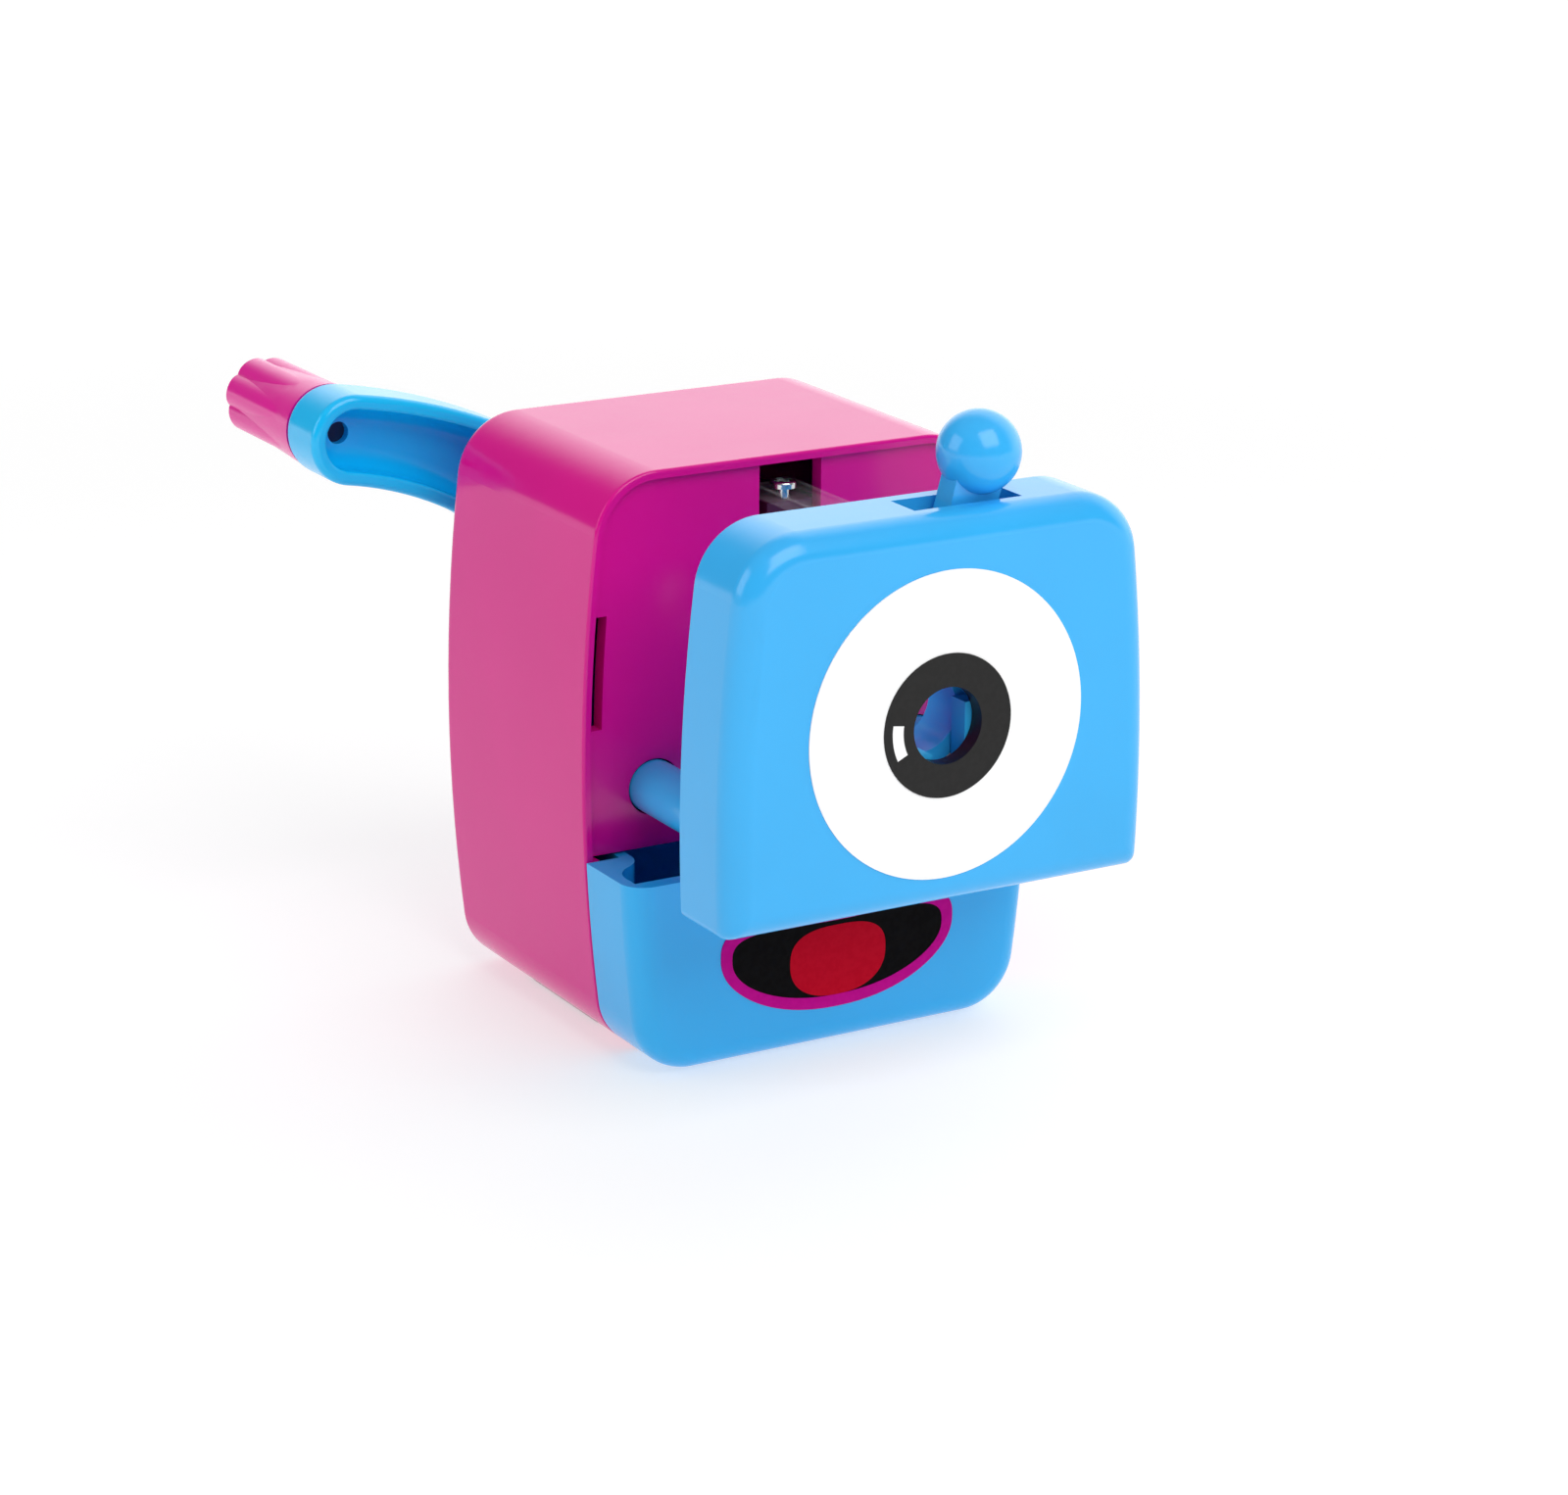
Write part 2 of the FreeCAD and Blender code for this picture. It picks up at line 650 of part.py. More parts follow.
def drawer_plan(wide_half, narrow_half):
    """Upright prism whose sides sweep in from the wide front to the tray."""
    start_y = shoulder_y - drawer_sweep
    step = wide_half - narrow_half
    radius = (drawer_sweep**2 + step**2) / (4 * step)
    half_turn = asin(drawer_sweep / 2 / radius) / 2
    across, along = radius * (1 - cos(half_turn)), radius * sin(half_turn)
    middle = ((wide_half + narrow_half) / 2, (start_y + shoulder_y) / 2)
    front_y_out = drawer_front_y - 1
    edges = []
    for side in (-1, 1):
        outer = V(side * wide_half, start_y, 0)
        bend = V(side * middle[0], middle[1], 0)
        inner = V(side * narrow_half, shoulder_y, 0)
        first = Part.Arc(outer, V(side * (wide_half - across), start_y + along, 0), bend)
        second = Part.Arc(bend, V(side * (narrow_half + across), shoulder_y - along, 0), inner)
        straight = Part.LineSegment(V(side * wide_half, front_y_out, 0), outer)
        edges += [straight.toShape(), first.toShape(), second.toShape()]
    for half, y in ((wide_half, front_y_out), (narrow_half, shoulder_y)):
        edges.append(Part.LineSegment(V(-half, y, 0), V(half, y, 0)).toShape())
    plan = Part.Wire(Part.__sortEdges__(edges))
    return Part.Face(plan).extrude(V(0, 0, case_top_z + 1))


# ---- Carriage ---------------------------------------------------------------------------------
def make_carriage_shell():
    """Front shell of the carriage, open at the back, with screw posts."""
    shell = case_slab(
        carriage_bottom_z, case_top_z, carriage_front_y, carriage_back_y, 0.0,
        corner_top_r, carriage_bottom_r,
    )
    shell = shell.makeFillet(front_fillet, flat_edges(shell, carriage_front_y))
    hollow = case_slab(
        carriage_bottom_z + carriage_wall, case_top_z - carriage_wall, carriage_inner_y, carriage_back_y + 1,
        carriage_wall, corner_top_r - carriage_wall, 0.0,
    )
    hollow = hollow.makeFillet(front_fillet - carriage_wall, flat_edges(hollow, carriage_inner_y))
    shell = shell.cut(hollow)
    for x, z in plate_posts:
        shell = shell.fuse(cylinder(post_r, carriage_inner_y - weld, plate_front_y, x, z))
    for x, z in plate_posts:
        shell = shell.cut(cylinder(post_hole_r, plate_front_y - post_hole_depth, plate_front_y + 1, x, z))
    shell = shell.cut(cylinder(face_disc_r, carriage_front_y - 1, carriage_front_y + inlay_depth))
    shell = shell.cut(cylinder(sleeve_r, carriage_front_y, carriage_inner_y + 1))
    for angle in jaw_angles.values():
        x, z = polar(clamp_centre, angle)
        shell = shell.cut(cylinder(jaw_pin_r, carriage_inner_y - jaw_pin_seat, carriage_inner_y + 1, x, z))
    lever_y = cam_y + lever_thickness / 2
    slot = box(
        lever_low_x - lever_slot_gap, lever_high_x + lever_slot_gap,
        lever_y - lever_slot_width / 2, lever_y + lever_slot_width / 2,
        case_top_z - 2 * carriage_wall, case_top_z + 1,
    )
    return shell.cut(slot).removeSplitter()


def make_face_disc():
    """White front disc, set in a shallow recess around the pencil hole."""
    disc = cylinder(face_disc_r, carriage_front_y - disc_proud, carriage_front_y + inlay_depth)
    return disc.cut(cylinder(iris_r, carriage_front_y - 1, carriage_front_y + 1))


def make_bore_ring():
    """Dark ring whose sleeve lines the pencil hole."""
    ring = cylinder(iris_r, carriage_front_y - iris_proud, carriage_front_y + inlay_depth)
    ring = ring.fuse(cylinder(sleeve_r, carriage_front_y, carriage_inner_y)).removeSplitter()
    return ring.cut(cylinder(pencil_bore_r, carriage_front_y - 1, carriage_inner_y + 1))


def make_back_plate():
    """Plate that closes the carriage and carries the rods, the tongue and the cam ring's hub."""
    inset = carriage_wall + plate_fit
    plate = case_slab(
        carriage_bottom_z + inset, case_top_z - inset, plate_front_y, carriage_back_y, inset,
        corner_top_r - inset, 0.0,
    )
    plate = plate.fuse(cylinder(hub_outer_r, plate_front_y - hub_reach, plate_front_y)).removeSplitter()
    plate = plate.cut(cylinder(pencil_bore_r + bore_fit, plate_front_y - hub_reach - 1, carriage_back_y + 1))
    for x, z in plate_posts:
        plate = plate.cut(cylinder(post_hole_r, plate_front_y - 1, carriage_back_y + 1, x, z))
        sink_y = carriage_back_y - screw_head_sink
        plate = plate.cut(cylinder(screw_head_r + screw_head_fit, sink_y, carriage_back_y + 1, x, z))
    for x in rods.values():
        plate = plate.cut(cylinder(rod_spigot_r, plate_front_y - 1, carriage_back_y + 1, x, rod_z))
    for angle in jaw_angles.values():
        x, z = polar(clamp_centre, angle)
        plate = plate.cut(cylinder(jaw_pin_r, plate_front_y - 1, plate_front_y + jaw_pin_seat, x, z))
    return plate.cut(box(
        -tongue_half_width, tongue_half_width, plate_front_y - 1, carriage_back_y + 1,
        tongue_bottom_z, tongue_top_z + tongue_rib,
    ))


def make_carriage_screws():
    """Four screws that hold the back plate to the shell's posts."""
    seat_y = carriage_back_y - screw_head_sink
    screws = []
    for x, z in plate_posts:
        seat = V(x, seat_y, z)
        screws.append(screw(screw_head_r, screw_head, post_hole_r, post_hole_depth, seat, FRONT))
    return Part.makeCompound(screws)


def make_guide_rod(x):
    """Guide rod with a spigot at the plate and a tapped hole at each end."""
    rod = cylinder(rod_r, carriage_back_y, rod_end_y, x, rod_z)
    rod = rod.makeChamfer(rod_chamfer, flat_edges(rod, rod_end_y))
    rod = rod.fuse(cylinder(rod_spigot_r, plate_front_y, carriage_back_y, x, rod_z)).removeSplitter()
    rod = rod.cut(cylinder(rod_screw_r, plate_front_y - 1, carriage_back_y + rod_screw_depth, x, rod_z))
    return rod.cut(cylinder(end_screw_r, rod_end_y - rod_screw_depth, rod_end_y + 1, x, rod_z))


def make_rod_screws():
    """Screws inside the carriage that pull the rods onto the plate."""
    length = back_plate_thickness + rod_screw_grip
    screws = []
    for x in rods.values():
        seat = V(x, plate_front_y, rod_z)
        screws.append(screw(rod_screw_head_r, rod_screw_head, rod_screw_r, length, seat, BACK))
    return Part.makeCompound(screws)


def make_rod_washers():
    """Washers on the rods' inner ends that the feed springs press on."""
    rings = []
    for x in rods.values():
        ring = cylinder(washer_r, rod_end_y, rod_end_y + washer_thickness, x, rod_z)
        rings.append(ring.cut(cylinder(end_screw_r, rod_end_y - 1, rod_end_y + 2, x, rod_z)))
    return Part.makeCompound(rings)


def make_rod_end_screws():
    """Screws that hold the washers on the rods' inner ends."""
    screws = []
    for x in rods.values():
        seat = V(x, rod_end_y + washer_thickness, rod_z)
        screws.append(screw(end_screw_head_r, rod_screw_head, end_screw_r, rod_screw_depth, seat, FRONT))
    return Part.makeCompound(screws)


def make_guide_tongue():
    """Clear slotted strip with a rib along each side and a head behind the plate."""
    top = tongue_top_z
    strip = box(-tongue_half_width, tongue_half_width, plate_front_y, tongue_end_y, tongue_bottom_z, top)
    head_y = plate_front_y - tongue_head
    strip = strip.fuse(box(-tongue_head_half, tongue_head_half, head_y, plate_front_y, tongue_bottom_z, top))
    for side in (-1, 1):
        edges = sorted((side * tongue_half_width, side * (tongue_half_width - tongue_rib_width)))
        strip = strip.fuse(box(*edges, plate_front_y, tongue_end_y, top, top + tongue_rib))
    slot_end = guide_screw_y + tongue_slot_behind
    slot_start = guide_screw_y - carriage_travel - tongue_slot_ahead
    slot = box(-tongue_slot_half, tongue_slot_half, slot_start, slot_end, tongue_bottom_z - 1, top + 1)
    return strip.cut(slot).removeSplitter()


def make_jaw_pins():
    """Three steel pins that the jaws turn on."""
    pins = []
    for angle in jaw_angles.values():
        x, z = polar(clamp_centre, angle)
        pins.append(cylinder(jaw_pin_r, carriage_inner_y - jaw_pin_seat, plate_front_y + jaw_pin_seat, x, z))
    return Part.makeCompound(pins)


def make_clamp_spring():
    """Torsion spring around the hub, behind the cam ring."""
    start = cam_y + cam_thickness + clamp_wire_r + clamp_coil_front_gap
    length = plate_front_y - start - clamp_wire_r - clamp_coil_back_gap
    radius = hub_outer_r + clamp_wire_r + clamp_coil_gap
    return coil(radius, clamp_wire_r, length, clamp_turns, V(0, start, axis_z), BACK)


# ---- Clamp lever and jaws ---------------------------------------------------------------------
def make_cam_ring():
    """Toothed ring on the hub that swings the jaws, with a tab for the lever."""
    ring = spur_gear(cam_teeth, 0.0, cam_y, cam_y + cam_thickness)
    tab_start = cam_pitch_r - tab_root
    tab = box(tab_start, tab_end, cam_y, cam_y + lever_lap, axis_z - tab_half, axis_z + tab_half)
    ring = ring.fuse(about_axis(tab, lever_angle)).removeSplitter()
    ring = ring.cut(cylinder(hub_outer_r + cam_bore_fit, cam_y - 1, cam_y + cam_thickness + 1))
    return ring.cut(lever_screw_hole())


def lever_screw_hole():
    """Hole through the lever's lap joint."""
    return about_axis(cylinder(lever_screw_r, cam_y - 1, lever_back_y + 1, lever_screw_reach), lever_angle)


def make_clamp_lever():
    """Stem with a flared foot and a ball knob, lapped onto the cam ring's tab."""
    half = lever_width / 2
    lap_y = cam_y + lever_lap
    wide = half + foot_flare
    foot = box(foot_start, foot_end, lap_y, lever_back_y, axis_z - half, axis_z + half)
    flare = [(foot_end, -wide), (flare_end, -half), (knob_reach, -half), (knob_reach, half),
             (flare_end, half), (foot_end, wide)]
    stem = Part.Face(outline(flare, cam_y)).extrude(V(0, lever_thickness, 0))
    knob = Part.makeSphere(knob_r, V(knob_reach, cam_y + lever_thickness / 2, axis_z))
    lever = about_axis(foot.fuse([stem, knob]).removeSplitter(), lever_angle)
    return lever.cut(lever_screw_hole())


def make_lever_screw():
    """Screw that joins the lever to the cam ring's tab."""
    x, z = polar(lever_screw_reach, lever_angle)
    seat = V(x, lever_back_y, z)
    return screw(lever_screw_head_r, lever_screw_head, lever_screw_r, lever_thickness, seat, FRONT)


def make_jaw(angle):
    """Jaw: straight-edged finger, pivot hub and a toothed sector, built at the top and turned."""
    pivot_z = axis_z + clamp_centre
    outer = -jaw_grip_r - jaw_finger_width
    hub = jaw_hub_r - jaw_hub_tuck
    finger = [(-jaw_grip_r, jaw_edge_top), (-jaw_grip_r, -jaw_tip_past), (outer + jaw_tip_cut, -jaw_tip_past),
              (outer, jaw_back_low), (outer, jaw_back_high), (-hub, clamp_centre + jaw_hub_slope),
              (hub, clamp_centre - jaw_hub_slope)]
    jaw = Part.Face(outline(finger, jaw_y)).extrude(V(0, jaw_thickness, 0))
    cam_end = cam_y + cam_thickness
    jaw = jaw.fuse(cylinder(jaw_hub_r, jaw_y, cam_end, 0.0, pivot_z))
    gear = spur_gear(jaw_teeth, -pi / 2 + pi / jaw_teeth, cam_y, cam_end, 0.0, pivot_z)
    reach = jaw_pitch_r + sector_past
    side_z = clamp_centre - sector_spread * reach
    wedge = [(0.0, clamp_centre + sector_back), (-reach, side_z), (-reach, clamp_centre - reach),
             (reach, clamp_centre - reach), (reach, side_z)]
    limit = Part.Face(outline(wedge, cam_y - weld)).extrude(V(0, cam_thickness + 2 * weld, 0))
    sector = gear.common(limit)
    collar = cylinder(jaw_hub_r, jaw_y + jaw_thickness, cam_end, 0.0, pivot_z)
    jaw = jaw.fuse([sector, collar]).removeSplitter()
    jaw = jaw.cut(cylinder(jaw_pin_r + pin_fit, jaw_y - 1, cam_end + 1, 0.0, pivot_z))
    return about_axis(jaw, angle - 90.0)


# ---- Cutter and gears -------------------------------------------------------------------------
def make_cutter():
    """Helical milling cutter: a fluted cylinder twisted along its length."""
    y0, y1 = axial_y(cutter_front_y), axial_y(cutter_back_y)
    wires = []
    for section in range(cutter_sections + 1):
        share = section / cutter_sections
        points = teeth_points(
            cutter_flutes, cutter_r - flute_depth / 2, cutter_r, cutter_r - flute_depth, flute_land,
            radians(cutter_twist) * share,
        )
        wires.append(outline(points, y0 + share * (y1 - y0)))
    blank = Part.makeLoft(wires, True, True)
    return tilted(blank.cut(cylinder(cutter_axle_r + axle_fit, y0 - 1, y1 + 1)))


def make_pinion():
    """Bevel pinion on the cutter's front end, in mesh with the ring gear."""
    y0 = axial_y(pinion_front_y)
    slant = (apex_y - pinion_front_y) / cos(ring_cone)
    reference = apex_y - slant * cos(pinion_cone)
    pitch_r = slant * sin(pinion_cone)
    points = teeth_points(
        pinion_teeth, pitch_r, pitch_r + addendum * ring_module, pitch_r - dedendum * ring_module,
        tooth_share, pi / 2,
    )
    pinion = bevel_solid(points, y0, y0 + pinion_width, reference)
    return tilted(pinion.cut(cylinder(cutter_axle_r + axle_fit, y0 - 1, y0 + pinion_width + 1)))


def make_cutter_axle():
    """Steel axle of the cutter, held by the carrier at both ends."""
    start = axial_y(pinion_front_y) - axle_front_seat
    return tilted(cylinder(cutter_axle_r, start, axial_y(cutter_back_y) + axle_back_seat))


def make_carrier():
    """Carrier: front journal and arm, a trough that backs the pencil, and a rear plate."""
    front = web_back_y + carrier_web_gap
    carrier = cylinder(carrier_journal_r, panel_back_y + gap, front)
    carrier = carrier.fuse(cylinder(carrier_r, front, carrier_back_y))
    reach = (apex_y - front) * tan(radians(cutter_tilt)) + carrier_arm_past
    arm = box(-carrier_arm_half, carrier_arm_half, front, front + carrier_arm, axis_z, axis_z + reach)
    arm = about_axis(arm, cutter_heading - 90.0)
    carrier = carrier.fuse(arm).removeSplitter()
    sweep = cylinder(cutter_r + gap, axial_y(pinion_front_y) - gap, axial_y(cutter_back_y) + gap)
    carrier = carrier.cut(tilted(sweep))
    cone_y = cutter_front_y
    cone = Part.makeCone(carrier_bore_r, pencil_tip_r, carrier_plate_y - cone_y, V(0, cone_y, axis_z), BACK)
    carrier = carrier.cut(cylinder(carrier_bore_r, panel_back_y - 1, cone_y).fuse(cone))
    carrier = carrier.cut(cylinder(shaft_r, shaft_start_y, carrier_back_y + 1))
    return carrier.cut(make_cutter_axle())


# ---- Crank ------------------------------------------------------------------------------------
def make_crank_shaft():
    """Shaft through the rear bush with a square end for the crank arm."""
    square_y = arm_front_y - square_seat
    end_y = arm_back_y - arm_screw_recess
    shaft = cylinder(shaft_r, shaft_start_y, square_y)
    half = square_side / 2
    square = about_axis(box(-half, half, square_y, end_y, axis_z - half, axis_z + half), crank_angle)
    shaft = shaft.fuse(square).removeSplitter()
    return shaft.cut(cylinder(crank_screw_r, end_y - crank_screw_depth, end_y + 1))


def make_shaft_clip():
    """Retaining clip on the shaft, between the carrier and the bush."""
    y0 = carrier_back_y + clip_gap
    clip = cylinder(shaft_r + clip_width, y0, y0 + clip_thickness).cut(cylinder(shaft_r, y0 - 1, y0 + 2))
    mouth_z = axis_z - shaft_r - clip_width - 1
    return clip.cut(box(-clip_mouth_half, clip_mouth_half, y0 - 1, y0 + 2, mouth_z, axis_z))


def arm_outline(inset, y):
    """Wire of the crank arm along +X: the hub's and the end's circles, joined by tangent arcs."""
    hub_r = arm_hub_r - inset
    end_r = arm_end_r - inset
    hub_ends = []
    cap_ends = []
    edges = []
    for side, radius in ((-1, arm_outer_r), (1, arm_inner_r)):
        to_hub = radius + side * arm_hub_r
        to_end = radius + side * arm_end_r
        x = (to_hub**2 - to_end**2 + crank_radius**2) / (2 * crank_radius)
        z = sqrt(to_hub**2 - x**2)
        hub_k, end_k = side * hub_r / to_hub, side * end_r / to_end
        start = V(hub_k * x, y, axis_z + hub_k * z)
        finish = V(crank_radius + end_k * (x - crank_radius), y, axis_z + end_k * z)
        middle = V(x, y, axis_z + z - radius - side * inset)
        edges.append(Part.Arc(start, middle, finish).toShape())
        hub_ends.append(start)
        cap_ends.append(finish)
    hub = Part.Arc(hub_ends[0], V(-hub_r, y, axis_z), hub_ends[1]).toShape()
    cap = Part.Arc(cap_ends[0], V(crank_radius + end_r, y, axis_z), cap_ends[1]).toShape()
    return Part.Wire(Part.__sortEdges__(edges + [hub, cap]))


def make_crank_arm():
    """Bowed arm, hollow towards the front, with a hub and a web that holds the handle pin."""
    arm = Part.Face(arm_outline(0.0, arm_front_y)).extrude(V(0, arm_thickness, 0))
    arm = arm.makeFillet(arm_front_fillet, flat_edges(arm, arm_front_y))
    arm = arm.makeFillet(arm_back_fillet, flat_edges(arm, arm_back_y))
    pocket = Part.Face(arm_outline(arm_rim, arm_front_y - 1)).extrude(V(0, arm_pocket + 1, 0))
    pocket = pocket.makeFillet(arm_floor_fillet, flat_edges(pocket, arm_front_y + arm_pocket))
    arm = arm.cut(pocket)
    arm = arm.makeFillet(arm_rim_fillet, edges_along(arm, arm_outline(arm_rim, arm_front_y)))
    arm = arm.fuse(cylinder(arm_boss_r, arm_boss_y, arm_front_y + arm_pocket + 1)).removeSplitter()
    arm = arm.cut(cylinder(pin_neck_r, arm_front_y, arm_back_y + 1, crank_radius))
    arm = arm.cut(cylinder(shaft_r, arm_boss_y - 1, arm_front_y - square_seat))
    half = square_side / 2
    arm = arm.cut(box(-half, half, arm_front_y - 1, arm_back_y + 1, axis_z - half, axis_z + half))
    arm = arm.cut(cylinder(arm_screw_recess_r, arm_back_y - arm_screw_recess, arm_back_y + 1))
    return about_axis(arm, crank_angle)


def make_crank_screw():
    """Screw and head that hold the arm on the shaft."""
    seat = V(0, arm_back_y - arm_screw_recess, axis_z)
    return screw(crank_screw_head_r, crank_screw_head, crank_screw_r, crank_screw_depth, seat, FRONT)


def make_handle_pin():
    """Shouldered pin riveted into the arm's web; the handle turns on it."""
    neck_y = arm_front_y + arm_pocket + pin_neck_sink
    pin = cylinder(pin_neck_r, neck_y, arm_back_y, crank_radius)
    pin = pin.fuse(cylinder(pin_r, arm_back_y, pin_head_y, crank_radius))
    pin = pin.fuse(cylinder(pin_head_r, pin_head_y, pin_head_y + pin_head, crank_radius)).removeSplitter()
    return about_axis(pin, crank_angle)


def make_handle():
    """Handle that turns on its pin: a cone with lobes that stand out towards its far end."""
    base = V(crank_radius, handle_front_y, axis_z)
    handle = Part.makeCone(handle_r, handle_end_r, handle_length, base, BACK)
    lobes = []
    for index in range(handle_lobes):
        angle = radians(handle_turn) + 2 * pi * index / handle_lobes
        foot = base + V(lobe_ring_r * cos(angle), 0, lobe_ring_r * sin(angle))
        lobes.append(Part.makeCylinder(lobe_r, handle_length, foot, BACK))
    handle = handle.fuse(lobes)
    limit = cylinder(max(handle_r, lobe_ring_r + lobe_r), handle_front_y, handle_back_y, crank_radius)
    limit = limit.makeFillet(handle_round, flat_edges(limit, handle_back_y))
    handle = handle.common(limit).removeSplitter()
    handle = handle.cut(cylinder(pin_r + pin_fit, handle_front_y - 1, handle_back_y + 1, crank_radius))
    handle = handle.cut(cylinder(
        pin_head_r + pin_fit, pin_head_y - handle_gap, handle_back_y + 1, crank_radius,
    ))
    return about_axis(handle, crank_angle)


def build():
    """Every node of the sharpener by name."""
    nodes = {
        "body_shell": make_body_shell(),
        "front_panel": make_front_panel(),
        "base_pad": make_base_pad(),
        "ring_gear": make_ring_gear(),
        "gear_screws": make_gear_screws(),
        "tongue_screw": make_tongue_screw(),
        "rear_bush": make_rear_bush(),
        "shavings_drawer": make_drawer(),
        "carriage_shell": make_carriage_shell(),
        "carriage_back_plate": make_back_plate(),
        "face_disc": make_face_disc(),
        "bore_ring": make_bore_ring(),
        "carriage_screws": make_carriage_screws(),
        "rod_screws": make_rod_screws(),
        "rod_washers": make_rod_washers(),
        "rod_end_screws": make_rod_end_screws(),
        "guide_tongue": make_guide_tongue(),
        "jaw_pins": make_jaw_pins(),
        "clamp_spring": make_clamp_spring(),
        "cam_ring": make_cam_ring(),
        "clamp_lever": make_clamp_lever(),
        "lever_screw": make_lever_screw(),
        "helical_cutter": make_cutter(),
        "cutter_pinion": make_pinion(),
        "cutter_axle": make_cutter_axle(),
        "cutter_carrier": make_carrier(),
        "crank_shaft": make_crank_shaft(),
        "shaft_clip": make_shaft_clip(),
        "crank_arm": make_crank_arm(),
        "crank_screw": make_crank_screw(),
        "handle_pin": make_handle_pin(),
        "crank_handle": make_handle(),
    }
    for side, x in rods.items():
        nodes[f"guide_rod_{side}"] = make_guide_rod(x)
        nodes[f"feed_spring_{side}"] = make_feed_spring(x)
    for name, angle in jaw_angles.items():
        nodes[name] = make_jaw(angle)
    return nodes


os.makedirs(OUT, exist_ok=True)
for node, shape in build().items():
    shape.exportStep(os.path.join(OUT, node + ".step"))
    print(f"{node}: {len(shape.Solids)} solid(s), {shape.Volume:.1f} mm3, valid {shape.isValid()}")
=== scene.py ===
"""Looks of a hand-crank pencil sharpener: finishes, printed decorations, studio and camera.

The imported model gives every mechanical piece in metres. This script dresses those pieces, adds the
thin printed shapes on the ring and the drawer, and sets up the floor, the lights and the camera.
"""

import json
import logging
import math
from dataclasses import dataclass, field
from enum import Enum
from typing import Any, Sequence

import bmesh
import bpy
from mathutils import Matrix, Vector

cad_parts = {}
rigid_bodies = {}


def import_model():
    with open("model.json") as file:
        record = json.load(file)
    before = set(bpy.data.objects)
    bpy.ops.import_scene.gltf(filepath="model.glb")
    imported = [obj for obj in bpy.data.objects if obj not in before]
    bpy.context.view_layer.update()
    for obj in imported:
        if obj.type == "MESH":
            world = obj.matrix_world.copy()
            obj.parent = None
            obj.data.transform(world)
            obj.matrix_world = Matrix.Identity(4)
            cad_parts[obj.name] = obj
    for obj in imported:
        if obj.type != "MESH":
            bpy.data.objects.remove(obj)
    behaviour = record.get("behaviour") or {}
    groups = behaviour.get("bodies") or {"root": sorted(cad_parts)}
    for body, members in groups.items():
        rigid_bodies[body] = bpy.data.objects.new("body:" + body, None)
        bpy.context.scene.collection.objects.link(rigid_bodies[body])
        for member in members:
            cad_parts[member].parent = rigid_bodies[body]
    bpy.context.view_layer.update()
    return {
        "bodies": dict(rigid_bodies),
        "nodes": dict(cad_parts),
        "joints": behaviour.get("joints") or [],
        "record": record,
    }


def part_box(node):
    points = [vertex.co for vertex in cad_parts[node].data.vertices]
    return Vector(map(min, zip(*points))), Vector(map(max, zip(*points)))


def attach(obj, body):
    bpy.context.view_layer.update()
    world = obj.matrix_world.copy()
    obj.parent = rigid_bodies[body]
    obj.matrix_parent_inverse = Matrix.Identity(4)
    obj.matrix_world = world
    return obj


LOG = logging.getLogger("sharpener")
MM = 0.001
OUTLINE_POINTS = 96
SRGB_TOE = 0.04045
SRGB_TOE_SLOPE = 12.92
SRGB_OFFSET = 0.055
SRGB_GAMMA = 2.4
MIX_FIRST_COLOUR = 6
MIX_SECOND_COLOUR = 7
MIX_COLOUR_RESULT = 2

Colour = tuple[float, float, float]
Point2 = tuple[float, float]


def srgb(red: int, green: int, blue: int) -> Colour:
    """Linear colour of an 8-bit display colour.

    Args:
        red: Its red, from 0 to 255.
        green: Its green.
        blue: Its blue.

    Returns:
        The linear colour.
    """
    parts = []
    for value in (red, green, blue):
        share = value / 255
        if share <= SRGB_TOE:
            parts.append(share / SRGB_TOE_SLOPE)
        else:
            parts.append(((share + SRGB_OFFSET) / (1 + SRGB_OFFSET)) ** SRGB_GAMMA)
    return tuple(parts)


# ---- Shader maths ------------------------------------------------------------------------------
class Number:
    """A shader socket that carries one number, with Python's operators."""

    def __init__(self, wiring: "Wiring", socket: Any) -> None:
        """Wraps a socket of a node tree."""
        self.wiring = wiring
        self.socket = socket

    def _math(self, operation: str, first: Any, second: Any) -> "Number":
        """A Math node on two numbers.

        Args:
            operation: The node's operation.
            first: Its first number or socket.
            second: Its second number or socket.

        Returns:
            The node's result.
        """
        node = self.wiring.node("ShaderNodeMath", {"operation": operation}, {0: first, 1: second})
        return Number(self.wiring, node.outputs[0])

    def __add__(self, other: Any) -> "Number":
        """Sum."""
        return self._math("ADD", self, other)

    __radd__ = __add__

    def __mul__(self, other: Any) -> "Number":
        """Product."""
        return self._math("MULTIPLY", self, other)

    __rmul__ = __mul__


